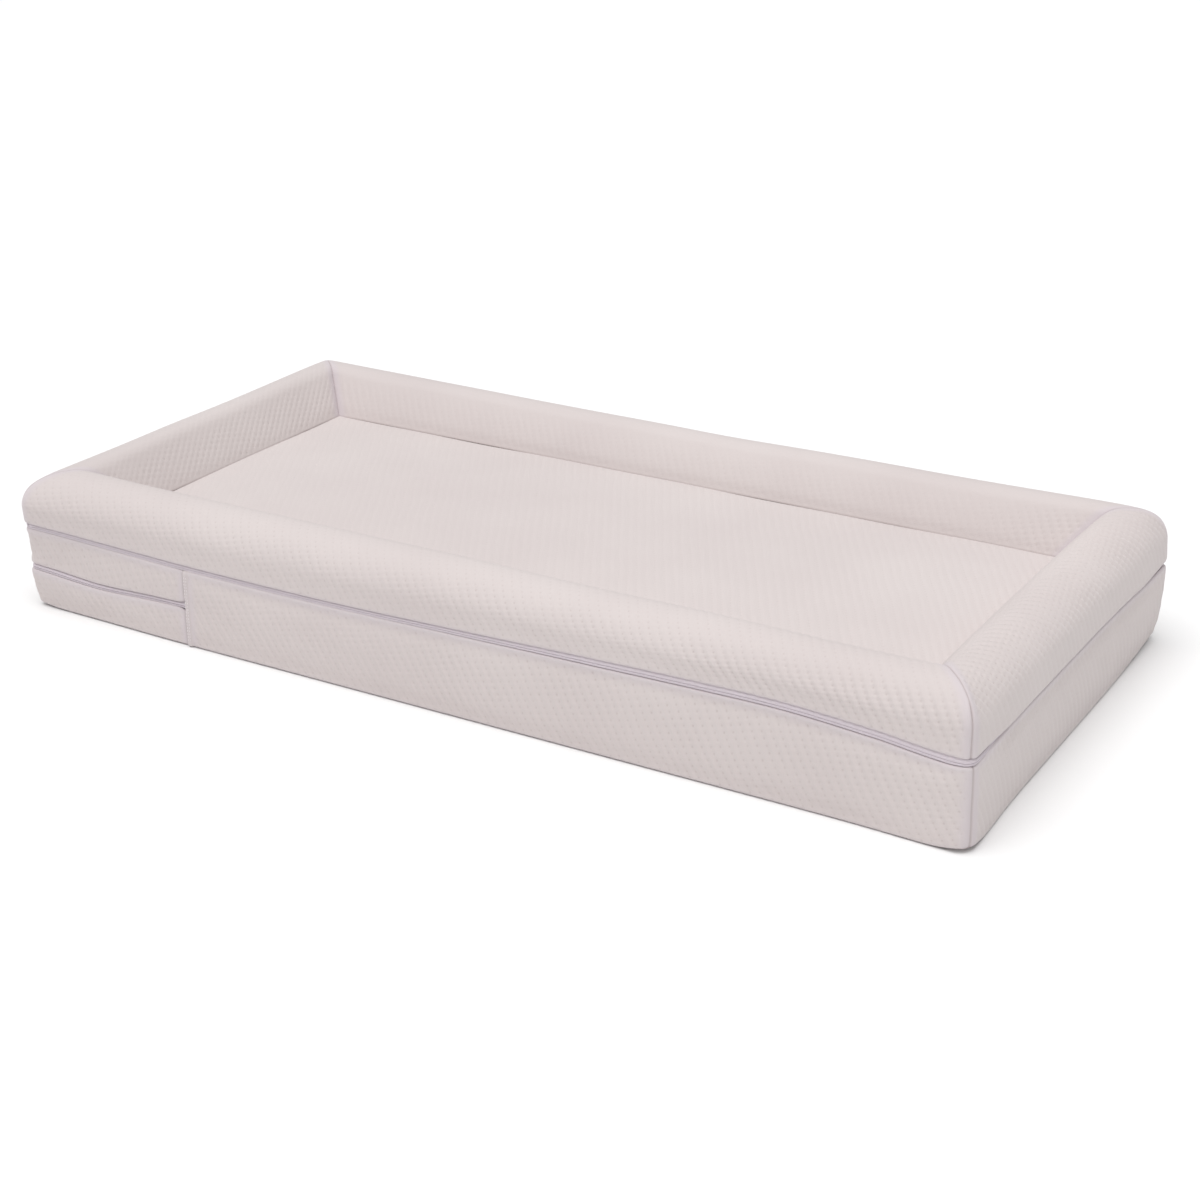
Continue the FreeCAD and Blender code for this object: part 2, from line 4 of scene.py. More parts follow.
import bmesh
import bpy
import numpy as np
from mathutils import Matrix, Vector


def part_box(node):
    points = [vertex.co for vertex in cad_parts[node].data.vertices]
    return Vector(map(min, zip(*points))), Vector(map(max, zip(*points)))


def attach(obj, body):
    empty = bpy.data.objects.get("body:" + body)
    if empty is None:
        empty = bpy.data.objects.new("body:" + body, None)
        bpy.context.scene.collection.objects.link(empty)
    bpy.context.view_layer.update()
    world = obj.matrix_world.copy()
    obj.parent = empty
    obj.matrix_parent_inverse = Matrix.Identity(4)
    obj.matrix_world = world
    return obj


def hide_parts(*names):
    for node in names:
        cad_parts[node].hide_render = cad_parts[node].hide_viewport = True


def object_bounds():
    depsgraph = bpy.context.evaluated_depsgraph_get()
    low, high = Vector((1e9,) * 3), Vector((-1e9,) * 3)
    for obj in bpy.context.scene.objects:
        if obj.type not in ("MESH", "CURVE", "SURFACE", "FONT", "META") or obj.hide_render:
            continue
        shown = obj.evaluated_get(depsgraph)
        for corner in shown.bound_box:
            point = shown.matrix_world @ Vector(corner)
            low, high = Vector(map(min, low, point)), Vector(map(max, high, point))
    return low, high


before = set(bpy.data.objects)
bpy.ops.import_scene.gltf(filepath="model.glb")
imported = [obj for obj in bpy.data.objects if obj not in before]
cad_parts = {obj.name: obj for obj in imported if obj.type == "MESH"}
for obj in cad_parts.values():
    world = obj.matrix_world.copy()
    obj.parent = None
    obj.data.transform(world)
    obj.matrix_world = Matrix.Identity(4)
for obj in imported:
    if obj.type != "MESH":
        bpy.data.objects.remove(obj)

# The looks of a changing pad: quilted covers over foam, two coil zips and their sliders.
# Lengths in this script are millimetres until a mesh is made.
MM = 0.001
CAD_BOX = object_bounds()

# ---------------------------------------------------------------- sizes from the frame


def low(node):
    """The corner of a node's CAD box that has the least coordinates."""
    return np.array(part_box(node)[0]) / MM


def high(node):
    """The opposite corner."""
    return np.array(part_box(node)[1]) / MM


LENGTH, WIDTH, HEIGHT = (np.array(CAD_BOX[1]) - np.array(CAD_BOX[0])) / MM
FLOOR = high("tray_floor_panel")[2]
RAIL_FOOT = LENGTH / 2 - high("tray_floor_panel")[0]
FLOOR_HALF_X = LENGTH / 2 - RAIL_FOOT
FLOOR_HALF_Y = WIDTH / 2 - RAIL_FOOT
BASE_EDGE = high("base_band_front")[2]
TRAY_EDGE = low("rim_panel_front")[2]
ZIP = (BASE_EDGE + TRAY_EDGE) / 2
END_LOW_EDGE = high("base_band_left_lower")[2]
END_HIGH_EDGE = low("base_band_left_upper")[2]
END_ZIP = (END_LOW_EDGE + END_HIGH_EDGE) / 2
STRIP_LEFT = low("seam_strip_front")[0]
STRIP_RIGHT = high("seam_strip_front")[0]
TAPE_INSET = WIDTH / 2 - high("main_zip_lower_tape")[1]
TAPE_GAUGE = high("main_zip_lower_tape")[1] - high("main_zip_lower_coil")[1]

# Zips, and the strips with their stitches.
TAPE_WIDTH = 9.6
COIL_DEPTH = 2.0
COIL_PITCH = 1.3       # length of one turn
STRIP_THICKNESS = 1.6
STITCH_PITCH = 2.6
STITCH_LENGTH = 1.9
THREAD_RADIUS = 0.22
THREAD_SIDES = 6

# Shape of the sewn cover.
COVER = 3.0            # thickness of the quilted knit
CORNER = 8.0           # radius of the upright corners, seen from above
CREST_OUTER = 28.6     # crest radius towards the outside
CREST_INNER = 15.0     # crest radius towards the floor
ZIP_CURL = 2.2         # radius of the cover's edge beside a zip
HEM_CURL = 2.0         # radius of the edge round the underside
ZIP_FORWARD = 2.4      # how far a zip's face comes forward at most, away from the sliders
ZIP_CLOSED = 1.8       # the covers' edges move about so far towards a zip, away from the sliders
MAIN_FACE = 2.1        # height of one tape's ribbed face, on the zip all round
END_FACE = 1.4         # the same on the zip round the left end
UNDERSIDE = 0.5        # height of the seam round the underside

# Quilting: dimples on a slanting lattice, to the right and up as a panel is seen from outside.
LATTICE = np.array([[7.0, 1.5], [2.25, -4.0]])
DIMPLE_RADIUS = 0.85
DIMPLE_DEPTH = 0.42
RIB_DEPTH = 0.5
ROW_DEPTH = 0.1

FINE = 1.15            # spacing of the visible quilted surface
WIDE = 1.5             # the same on the large floor panel
UNDERSIDE_SPACING = 2.2
SLAB_SPACING = 12.0    # on foam slabs and linings
CAGE = 8.0             # spacing of the cloth that is simulated
STRIDE = 4             # the lining side of a cover has one point for so many outside

# Cloth simulation: the cloth's settings, the most that any of it may move, and the frames it runs.
CLOTH = {
    "quality": 5,
    "mass": 0.3,
    "tension_stiffness": 14,
    "compression_stiffness": 10,
    "shear_stiffness": 6,
    "bending_stiffness": 0.6,
    "uniform_pressure_force": 4.0,
}
TRAY_CAP = 5.0
BASE_CAP = 4.0
FRAMES = 20


# ---------------------------------------------------------------- curves and grids


def arc(centre, radius, start, end, count):
    """Points on an arc, angles in degrees."""
    angles = np.radians(np.linspace(start, end, count))
    return np.stack([centre[0] + radius * np.cos(angles), centre[1] + radius * np.sin(angles)], -1)


def lengths_along(points):
    """Distance of each point of a curve from its first."""
    steps = np.linalg.norm(np.diff(points, axis=0), axis=-1)
    return np.concatenate([[0.0], np.cumsum(steps)])


def resample(points, count):
    """The same curve with evenly spaced points."""
    along = lengths_along(points)
    wanted = np.linspace(0, along[-1], count)
    return np.stack([np.interp(wanted, along, column) for column in points.T], -1)


def steps_for(length, spacing):
    """Number of points for a length, one more than a multiple of the stride."""
    return max(1, round(length / spacing / STRIDE)) * STRIDE + 1


def smooth(value, start, end):
    """0 before start, 1 after end, smooth between."""
    share = np.clip((value - start) / (end - start), 0, 1)
    return share * share * (3 - 2 * share)


def rail_profile():
    """(inset, height) from the zip, over the crest, to the seam round the floor."""
    top = HEIGHT
    foot = np.array([RAIL_FOOT, FLOOR])
    centre = np.array([CREST_OUTER, top - CREST_INNER])
    to_foot = foot - centre
    tangent = math.atan2(to_foot[1], to_foot[0]) + math.acos(CREST_INNER / np.linalg.norm(to_foot))
    return np.concatenate([
        arc((ZIP_CURL, TRAY_EDGE + ZIP_CURL), ZIP_CURL, 300, 180, 9),
        arc((CREST_OUTER, top - CREST_OUTER), CREST_OUTER, 180, 90, 24),
        arc(centre, CREST_INNER, 90, math.degrees(tangent), 10)[1:],
        [foot],
    ])


def band_profile(bottom, top, bottom_curl, top_curl):
    """(inset, height) of a side panel between two edges that curl in."""
    return np.concatenate([
        arc((bottom_curl, bottom + bottom_curl), bottom_curl, 270, 180, 9),
        arc((top_curl, top - top_curl), top_curl, 180, 60, 9),
    ])


# A side's direction along it (to the right, seen from outside), direction inwards and half length.
SIDES = {
    "front": ((1, 0), (0, 1), LENGTH / 2, WIDTH / 2),
    "right": ((0, 1), (-1, 0), WIDTH / 2, LENGTH / 2),
    "back": ((-1, 0), (0, -1), LENGTH / 2, WIDTH / 2),
    "left": ((0, -1), (1, 0), WIDTH / 2, LENGTH / 2),
}


def mitred_grid(side, profile, count):
    """Points of a side between its two mitres, their outward direction in plan, and their
    distances to the nearer mitre and along the side."""
    along, inward, half, reach = SIDES[side]
    inset = profile[:, :1]
    straight = half - np.maximum(CORNER, inset)
    radius = np.maximum(CORNER - inset, 0)
    total = straight + radius * math.pi / 4
    place = np.linspace(-1, 1, count)[None, :] * total
    turn = np.where(radius > 0, (np.abs(place) - straight) / np.maximum(radius, 1e-6), 0)
    turn = np.clip(turn, 0, math.pi / 4)
    forward = np.where(turn > 0, np.sign(place) * (straight + radius * np.sin(turn)), place)
    inward_by = inset + radius * (1 - np.cos(turn)) - reach
    points = np.zeros(place.shape + (3,))
    for axis in (0, 1):
        points[..., axis] = forward * along[axis] + inward_by * inward[axis]
    points[..., 2] = profile[:, 1:]
    to_mitre = total - np.abs(place)
    turned = np.exp(-to_mitre / 12.0) * np.sign(place)
    outward = turned[..., None] * np.array(along) - np.array(inward)
    outward = outward / np.linalg.norm(outward, axis=-1, keepdims=True)
    return points, outward, to_mitre, place


# The rounded outline's straight runs and corners, and the length all round.
LONG_RUN = LENGTH - 2 * CORNER
SHORT_RUN = WIDTH - 2 * CORNER
CORNER_RUN = CORNER * math.pi / 2
PERIMETER = 2 * (LONG_RUN + SHORT_RUN) + 4 * CORNER_RUN


def ring_plan(distance, inset):
    """Plan position and outward direction on the rounded outline. Distances run counterclockwise from
    the front's middle."""
    distance, inset = np.broadcast_arrays(np.mod(distance + LONG_RUN / 2, PERIMETER), inset)
    position = np.zeros(distance.shape + (2,))
    outward = np.zeros(distance.shape + (2,))
    start = 0.0
    for quarter in range(4):
        heading = quarter * math.pi / 2
        ahead = np.array([math.cos(heading), math.sin(heading)])
        out = np.array([math.sin(heading), -math.cos(heading)])
        run = LONG_RUN if quarter % 2 == 0 else SHORT_RUN
        reach = (WIDTH if quarter % 2 == 0 else LENGTH) / 2
        here = (distance >= start) & (distance < start + run)
        step = (distance - start - run / 2)[..., None]
        line = step * ahead + (reach - inset)[..., None] * out
        position = np.where(here[..., None], line, position)
        outward = np.where(here[..., None], out, outward)
        start += run
        here = (distance >= start) & (distance < start + CORNER_RUN)
        turn = ((distance - start) / CORNER)[..., None]
        direction = np.cos(turn) * out + np.sin(turn) * ahead
        centre = (run / 2) * ahead + (reach - CORNER) * out
        bend = centre + (CORNER - inset)[..., None] * direction
        position = np.where(here[..., None], bend, position)
        outward = np.where(here[..., None], direction, outward)
        start += CORNER_RUN
    return position, outward


# Distances of the corner seams and the strips. The front one lies a little round its corner.
RIGHT_FRONT_CORNER = (LONG_RUN + CORNER_RUN) / 2 + 2.0
RIGHT_BACK_CORNER = RIGHT_FRONT_CORNER + SHORT_RUN + CORNER_RUN - 2.0
HALF_WAY = PERIMETER / 2
BACK_STRIP_FROM = HALF_WAY - STRIP_RIGHT
BACK_STRIP_TO = HALF_WAY - STRIP_LEFT


def ring_grid(distances, profile):
    """Points of a band round the outline at some distances, for an (inset, height) profile."""
    distance = distances[None, :] + 0 * profile[:, :1]
    plan, outward = ring_plan(distance, profile[:, :1])
    points = np.concatenate([plan, profile[:, 1:, None] + 0 * plan[..., :1]], -1)
    return points, outward, distance


def grid_faces(rows, columns, first=0, periodic=False):
    """Quads of a grid of numbered points."""
    row = np.arange(rows - 1)[:, None]
    column = np.arange(columns if periodic else columns - 1)[None, :]
    following = (column + 1) % columns
    here = row * columns
    above = here + columns
    corners = (here + column, here + following, above + following, above + column)
    quads = np.stack([corner + 0 * (row + column) for corner in corners], -1)
    return (quads.reshape(-1, 4) + first).tolist()


def boundary(rows, columns):
    """The numbers of a grid's edge points, counterclockwise from the first."""
    bottom = [(0, column) for column in range(columns - 1)]
    right = [(row, columns - 1) for row in range(rows - 1)]
    top = [(rows - 1, column) for column in range(columns - 1, 0, -1)]
    left = [(row, 0) for row in range(rows - 1, 0, -1)]
    return [row * columns + column for row, column in bottom + right + top + left]


def tube_faces(stations, corners, first=0):
    """Faces of a tube with both its ends: a ring of numbered points at each station."""
    faces = grid_faces(stations, corners, first, periodic=True)
    last = first + (stations - 1) * corners
    faces.append(list(range(first, first + corners))[::-1])
    faces.append(list(range(last, last + corners)))
    return faces


def add_object(name, data):
    """An object in the scene's own collection."""
    made = bpy.data.objects.new(name, data)
    bpy.context.scene.collection.objects.link(made)
    return made


def normals_of(grid):
    """Unit normals of a grid of points, from its neighbours."""
    across = np.gradient(grid, axis=1)
    up = np.gradient(grid, axis=0)
    normal = np.cross(across, up)
    size = np.linalg.norm(normal, axis=-1, keepdims=True)
    return normal / np.maximum(size, 1e-9)


def cubic_weights(places, count, periodic=False):
    """Matrix that interpolates evenly spaced samples at fractional places (Catmull-Rom)."""
    weights = np.zeros((len(places), count))
    base = np.floor(places).astype(int)
    if not periodic:
        base = np.clip(base, 0, count - 2)
    t = places - base
    terms = (
        -0.5 * t + t ** 2 - 0.5 * t ** 3,
        1 - 2.5 * t ** 2 + 1.5 * t ** 3,
        0.5 * t + 2 * t ** 2 - 1.5 * t ** 3,
        -0.5 * t ** 2 + 0.5 * t ** 3,
    )
    rows = np.arange(len(places))
    for offset, term in enumerate(terms, start=-1):
        column = base + offset
        column = np.mod(column, count) if periodic else np.clip(column, 0, count - 1)
        np.add.at(weights, (rows, column), term)
    return weights


# ---------------------------------------------------------------- how the sewn cover sits


WAVE_TERMS = 5


def waves(x, y, seed, shortest):
    """Slow unevenness between about -1 and 1, from sines that run in different directions."""
    total = np.zeros(np.broadcast(x, y).shape)
    for term in range(WAVE_TERMS):
        turn = 2.399 * (term + seed)
        wave = shortest * (1 + 0.55 * term)
        across = x * math.cos(turn) + y * math.sin(turn)
        total = total + np.sin(across * 2 * math.pi / wave + 5.1 * term + seed)
    return total / WAVE_TERMS


# Height of the front zip above its level line, by distance from the pad's middle.
ZIP_WAVE_AT = (-405, -390, -330, -239, -108, 30, 131, 210, 272, 340, 386, 405)
ZIP_WAVE_BY = (5.0, 5.0, 2.5, 0.3, 0.0, 3.0, 5.6, 7.3, 7.5, 3.5, -1.0, -1.0)
ZIP_WAVE = cubic_weights(
    np.interp(np.linspace(-LENGTH / 2, LENGTH / 2, 164), ZIP_WAVE_AT, np.arange(len(ZIP_WAVE_AT))),
    len(ZIP_WAVE_AT),
) @ np.array(ZIP_WAVE_BY)


def zip_rise(x, y, z):
    """The front zip wanders up and down; the cover above and below it goes with it."""
    wave = np.interp(x, np.linspace(-LENGTH / 2, LENGTH / 2, len(ZIP_WAVE)), ZIP_WAVE)
    near_front = 1 - smooth(y, -WIDTH / 2 + 14, -WIDTH / 2 + 80)
    height = smooth(z, 6, ZIP - 2) * (1 - smooth(z, ZIP + 2, HEIGHT - 12))
    sag = -4.0 * np.exp(-((x + 335) / 48) ** 2)
    beside_end_zip = smooth(z, 6, END_ZIP - 4) * (1 - smooth(z, END_ZIP + 4, ZIP - 6))
    return near_front * (wave * height + sag * beside_end_zip)


# Bottom corners that turn up from the surface: which end and side, how far along x and y, how high.
LIFTS = (
    (1, -1, 16, 22, 3.0),
    (1, 1, 30, 55, 4.5),
    (-1, -1, 16, 20, 2.5),
)


def hem_lift(x, y, z):
    """How far the hem rises at the corners that turn up."""
    lift = 0
    for end, side, along_x, along_y, height in LIFTS:
        apart = np.hypot((x - end * LENGTH / 2) / along_x, (y - side * WIDTH / 2) / along_y)
        lift = lift + height * np.exp(-apart ** 2)
    return lift * (1 - smooth(z, 0, 34))


def away_from_sliders(x, y):
    """1 round the front and both ends, 0 along the back, where the sliders and their pulls run."""
    between_ends = 1 - smooth(np.abs(x), LENGTH / 2 - 4, LENGTH / 2 - 0.5)
    return 1 - smooth(y, WIDTH / 2 - 60, WIDTH / 2 - 12) * between_ends


def gaping(x, y):
    """1 along the right half of the front, where the zip all round shows most, 0 elsewhere."""
    return smooth(x, -100, 200) * (1 - smooth(y, -WIDTH / 2 + 2, -WIDTH / 2 + 50))


def zip_closing(x, y, z):
    """Cover edges draw together over a closed zip, the lower more than the upper."""
    at_right = smooth(x, LENGTH / 2 - 20, LENGTH / 2)
    at_main = ZIP_CLOSED * (1 - 0.6 * gaping(x, y)) + 0.8 * at_right
    at_end = ZIP_CLOSED * smooth(-x, -STRIP_LEFT - 2, 8 - STRIP_LEFT)
    total = 0
    for centre, amount in ((ZIP, at_main), (END_ZIP, at_end)):
        up = z - centre
        near = smooth(np.abs(up), 1.2, 3.5) * np.exp(-np.maximum(np.abs(up) - 3.5, 0) / 10.0)
        total = total + amount * near * np.where(up > 0, -0.75, 1.25)
    return total * away_from_sliders(x, y)


def crest_sag(x, y, z):
    """The back rail's crest dips a little between its ends."""
    middle = np.cos(np.clip(x / LENGTH, -0.5, 0.5) * math.pi) ** 2
    sag = -2.6 * smooth(y, WIDTH / 2 - 62, WIDTH / 2 - 30) * middle
    uneven = 0.9 * waves(x, y, 3, shortest=120)
    return (sag + uneven) * smooth(z, 84, 108)


def settle(points):
    """Move points of the cover and the zips to where they lie on the real pad."""
    x, y, z = points[..., 0], points[..., 1], points[..., 2]
    moved = points.copy()
    for shift in (zip_closing, zip_rise, hem_lift, crest_sag):
        moved[..., 2] += shift(x, y, z)
    return moved


# How far the walls stand out near the corners, by height.
BULGE_HEIGHTS = (0, 8, 20, 31, 36, 42, 52, 61, 66, 72, 85, 100, 114)
LEFT_BULGE = (-1.0, 0.2, 1.0, 1.4, 1.4, 0.6, 0.8, 2.4, 3.0, 3.8, 4.4, 3.0, 0.0)
BACK_BULGE = (-1.5, 0.3, 2.2, 3.2, 3.5, 3.8, 4.0, 3.6, 3.4, 4.0, 2.8, 1.6, 0.0)
RIGHT_BULGE = (3.0, 3.4, 3.0, 2.6, 2.4, 2.2, 1.8, 1.2, 0.8, 0.4, 0.0, 0.0, 0.0)
BULGES = (
    (-1, -1, 50, LEFT_BULGE),
    (-1, 1, 70, LEFT_BULGE),
    (1, 1, 90, BACK_BULGE),
    (1, -1, 60, RIGHT_BULGE),
)


def near_corner(x, y, end, side, reach):
    """1 at a corner of the outline, falling to 0 along both sides."""
    return np.exp(-(((x - end * LENGTH / 2) / reach) ** 2 + ((y - side * WIDTH / 2) / reach) ** 2))


def relief(x, y, z):
    """How far a wall stands out from its outline. Where a slider runs, the wall beside it keeps to the
    outline."""
    at_left = smooth(-x, LENGTH / 2 - 150, LENGTH / 2 - 30)
    between_zips = np.sin(np.clip((z - END_ZIP) / (ZIP - END_ZIP), 0, 1) * math.pi)
    total = -3.0 * at_left * (1 - near_corner(x, y, -1, -1, 30)) * between_zips
    total = total - 2.2 * smooth(-x, LENGTH / 2 - 190, LENGTH / 2 - 40) * (1 - smooth(z, 0, END_ZIP - 4))
    for end, side, reach, heights in BULGES:
        total = total + near_corner(x, y, end, side, reach) * np.interp(z, BULGE_HEIGHTS, heights)
    between_corners = 1 - smooth(np.abs(y), WIDTH / 2 - 70, WIDTH / 2 - 16)
    on_right = smooth(x, LENGTH / 2 - 24, LENGTH / 2 - 6) * between_corners
    over_zip = np.exp(-((z - TRAY_EDGE - 6) / 8.0) ** 2) * smooth(z, ZIP, TRAY_EDGE)
    shoulder = np.exp(-((z - 98) / 12.0) ** 2)
    total = total + on_right * (3.0 * over_zip + 2.0 * shoulder)
    away_from_seams = np.sin(np.clip(z / ZIP, 0, 2) * math.pi) ** 2
    total = total + 0.7 * waves(x + y, 1.6 * z, 7, shortest=60) * away_from_seams
    beside_end_zip = np.exp(-((z - END_ZIP) / 7) ** 2) * smooth(-x, -STRIP_RIGHT - 30, -STRIP_RIGHT)
    beside_zip = np.exp(-((z - ZIP) / 7) ** 2) + beside_end_zip
    total = total * (1 - beside_zip * (1 - away_from_sliders(x, y)))
    inset = np.minimum(LENGTH / 2 - np.abs(x), WIDTH / 2 - np.abs(y))
    return total * (1 - smooth(inset, 16, 36))


def stand_out(points, outward):
    """Add the relief to points of a wall, along its outward direction in plan."""
    moved = points.copy()
    amount = relief(points[..., 0], points[..., 1], points[..., 2])[..., None]
    moved[..., :2] += outward * amount
    return moved


# ---------------------------------------------------------------- cloth simulation


def simulate(name, vertices, faces, pinned, cap):
    """Inflate a closed cloth between its pinned seams; returns how far each vertex moved, never as far
    as the cap."""
    mesh = bpy.data.meshes.new(name)
    mesh.from_pydata((vertices * MM).tolist(), [], faces)
    cloth = add_object(name, mesh)
    cloth.vertex_groups.new(name="seams").add(pinned, 1.0, "REPLACE")
    modifier = cloth.modifiers.new("Cloth", "CLOTH")
    settings = modifier.settings
    for key, value in CLOTH.items():
        setattr(settings, key, value)
    settings.vertex_group_mass = "seams"
    settings.use_pressure = True
    settings.effector_weights.gravity = 0
    modifier.collision_settings.use_collision = False
    modifier.point_cache.frame_start = 1
    modifier.point_cache.frame_end = FRAMES
    for step in range(1, FRAMES + 1):
        bpy.context.scene.frame_set(step)
    shown = cloth.evaluated_get(bpy.context.evaluated_depsgraph_get())
    moved = np.array([vertex.co for vertex in shown.to_mesh().vertices]) / MM - vertices
    shown.to_mesh_clear()
    bpy.context.scene.frame_set(1)
    bpy.data.objects.remove(cloth)
    distance = np.linalg.norm(moved, axis=-1, keepdims=True)
    print(f"{name}: cloth moved up to {distance.max():.1f} mm, median {np.median(distance):.1f} mm")
    return moved * cap / (cap + distance)


def simulate_tray():
    """The tray's covers, each a coarse grid, welded into one closed cloth."""
    profile = resample(rail_profile(), 14)
    grids = {}
    for side, (_, _, half, _) in SIDES.items():
        count = round(2 * half / CAGE) + 1
        grid, outward, _, _ = mitred_grid(side, profile, count)
        grids[side] = settle(stand_out(grid, outward))
    x = np.linspace(-FLOOR_HALF_X, FLOOR_HALF_X, grids["front"].shape[1])
    y = np.linspace(-FLOOR_HALF_Y, FLOOR_HALF_Y, grids["right"].shape[1])
    floor = np.stack([*np.meshgrid(x, y), np.full((len(y), len(x)), FLOOR)], -1)
    grids["floor"] = settle(floor)
    work = bmesh.new()
    firsts = {}
    faces = []
    for name, grid in grids.items():
        firsts[name] = len(work.verts)
        for point in grid.reshape(-1, 3):
            work.verts.new(point)
        faces += grid_faces(*grid.shape[:2], first=firsts[name])
    work.verts.ensure_lookup_table()
    work.verts.index_update()
    welded = np.arange(len(work.verts))
    for vertex, target in bmesh.ops.find_doubles(work, verts=work.verts, dist=0.3)["targetmap"].items():
        welded[vertex.index] = target.index
    work.free()
    vertices = np.concatenate([grid.reshape(-1, 3) for grid in grids.values()])
    used, number = np.unique(welded, return_inverse=True)
    faces = [list(dict.fromkeys(int(number[corner]) for corner in face)) for face in faces]
    rims = []
    for side in SIDES:
        columns = grids[side].shape[1]
        rims += [int(number[firsts[side] + column]) for column in range(columns - 1)]
    faces.append(rims[::-1])
    pinned = set(rims)
    pinned |= {int(number[firsts["floor"] + edge]) for edge in boundary(*grids["floor"].shape[:2])}
    moved = simulate("tray_cloth", vertices[used], faces, sorted(pinned), TRAY_CAP)
    return {
        name: moved[number[firsts[name]:firsts[name] + grid.shape[0] * grid.shape[1]]].reshape(grid.shape)
        for name, grid in grids.items()
    }


def simulate_base():
    """The base's wall as one closed ring, pinned at its edges, corner seams, strips and end zip."""
    profile = resample(band_profile(UNDERSIDE, BASE_EDGE, HEM_CURL, ZIP_CURL), 10)
    count = round(PERIMETER / CAGE)
    distance = np.arange(count) * PERIMETER / count
    wall, outward, _ = ring_grid(distance, profile)
    wall = settle(stand_out(wall, outward))
    rows = len(profile)
    pinned = set(range(count)) | set(range((rows - 1) * count, rows * count))
    seams = (RIGHT_FRONT_CORNER, RIGHT_BACK_CORNER, STRIP_LEFT % PERIMETER, BACK_STRIP_TO)
    end_row = int(np.argmin(np.abs(profile[:, 1] - END_ZIP)))
    for column, place in enumerate(distance):
        if min(abs(place - seam) for seam in seams) <= CAGE / 2:
            pinned |= {row * count + column for row in range(rows)}
        if BACK_STRIP_TO <= place <= STRIP_LEFT % PERIMETER:
            pinned.add(end_row * count + column)
    faces = grid_faces(rows, count, periodic=True)
    faces.append(list(range(count))[::-1])
    faces.append(list(range((rows - 1) * count, rows * count)))
    moved = simulate("base_cloth", wall.reshape(-1, 3), faces, sorted(pinned), BASE_CAP)
    return moved.reshape(wall.shape), profile[:, 1]


TRAY_PUFF = simulate_tray()
BASE_PUFF, BASE_HEIGHTS = simulate_base()


def grid_puff(puff, rows, columns):
    """A simulated grid's movement at the points of a finer grid over the same panel."""
    up = cubic_weights(np.linspace(0, puff.shape[0] - 1, rows), puff.shape[0])
    across = cubic_weights(np.linspace(0, puff.shape[1] - 1, columns), puff.shape[1])
    return np.einsum("ri,ijk,cj->rck", up, puff, across)


def wall_puff(distance, heights):
    """The base wall's simulated movement at distances round it and heights up it."""
    rows = np.interp(heights, BASE_HEIGHTS, np.arange(len(BASE_HEIGHTS)))
    up = cubic_weights(rows, len(BASE_HEIGHTS))
    count = BASE_PUFF.shape[1]
    across = cubic_weights(np.mod(distance, PERIMETER) / PERIMETER * count, count, periodic=True)
    return np.einsum("ri,ijk,cj->rck", up, BASE_PUFF, across)


# ---------------------------------------------------------------- quilting and shells


def quilting(u, v, ribs, dots):
    """Depth of the quilting below the fabric's highest points. Each dimple has a depth of its own."""
    cell = np.stack([u, v], -1) @ np.linalg.inv(LATTICE)
    number = np.round(cell)
    offset = cell - number
    apart = offset @ LATTICE
    dimple = np.exp(-(apart ** 2).sum(-1) / (2 * DIMPLE_RADIUS ** 2))
    pulled = 0.7 + 0.6 * np.sin(12.9898 * number[..., 0] + 78.233 * number[..., 1]) ** 2
    valleys = RIB_DEPTH * np.cos(np.pi * offset[..., 0]) ** 2
    valleys = valleys + ROW_DEPTH * np.cos(np.pi * offset[..., 1]) ** 2
    uneven = 1 + 0.5 * waves(u, v, 11, shortest=55)
    return DIMPLE_DEPTH * dimple * pulled * dots + valleys * uneven * ribs


def shell(name, outer, uv, attributes, thickness=COVER):
    """A closed skin: a fine outside, a coarse inside and the edge between them."""
    rows, columns = outer.shape[:2]
    coarse = outer[::STRIDE, ::STRIDE]
    inner = coarse - thickness * normals_of(coarse)
    inner_rows, inner_columns = inner.shape[:2]
    first = rows * columns
    vertices = np.concatenate([outer.reshape(-1, 3), inner.reshape(-1, 3)])
    faces = grid_faces(rows, columns)
    faces += [face[::-1] for face in grid_faces(inner_rows, inner_columns, first)]
    fine_edge = boundary(rows, columns)
    coarse_edge = [first + number for number in boundary(inner_rows, inner_columns)]
    for index, corner in enumerate(coarse_edge):
        following = coarse_edge[(index + 1) % len(coarse_edge)]
        for step in range(STRIDE):
            here = fine_edge[index * STRIDE + step]
            there = fine_edge[(index * STRIDE + step + 1) % len(fine_edge)]
            faces.append([there, here, corner])
        faces.append([there, corner, following])
    inner_uv = uv[::STRIDE, ::STRIDE].reshape(-1, 2)
    all_uv = np.concatenate([uv.reshape(-1, 2), inner_uv])
    behind = np.zeros(len(inner_uv))
    values = {key: np.concatenate([value.reshape(-1), behind]) for key, value in attributes.items()}
    return mesh_object(name, vertices, faces, all_uv, values)


def mesh_object(name, vertices, faces, uv=None, attributes=None, sharp=55):
    """A Blender object from points in millimetres, with its fabric UVs in metres."""
    mesh = bpy.data.meshes.new(name)
    mesh.from_pydata((np.asarray(vertices) * MM).tolist(), [], faces)
    mesh.polygons.foreach_set("use_smooth", np.ones(len(mesh.polygons), bool))
    if uv is not None:
        layer = mesh.uv_layers.new(name="fabric")
        corner = np.zeros(len(mesh.loops), int)
        mesh.loops.foreach_get("vertex_index", corner)
        layer.data.foreach_set("uv", (uv[corner] * MM).astype(np.float32).reshape(-1))
    for key, value in (attributes or {}).items():
        mesh.attributes.new(key, "FLOAT", "POINT").data.foreach_set("value", value.astype(np.float32))
    mesh.update()
    mesh.set_sharp_from_angle(angle=math.radians(sharp))
    return add_object(name, mesh)


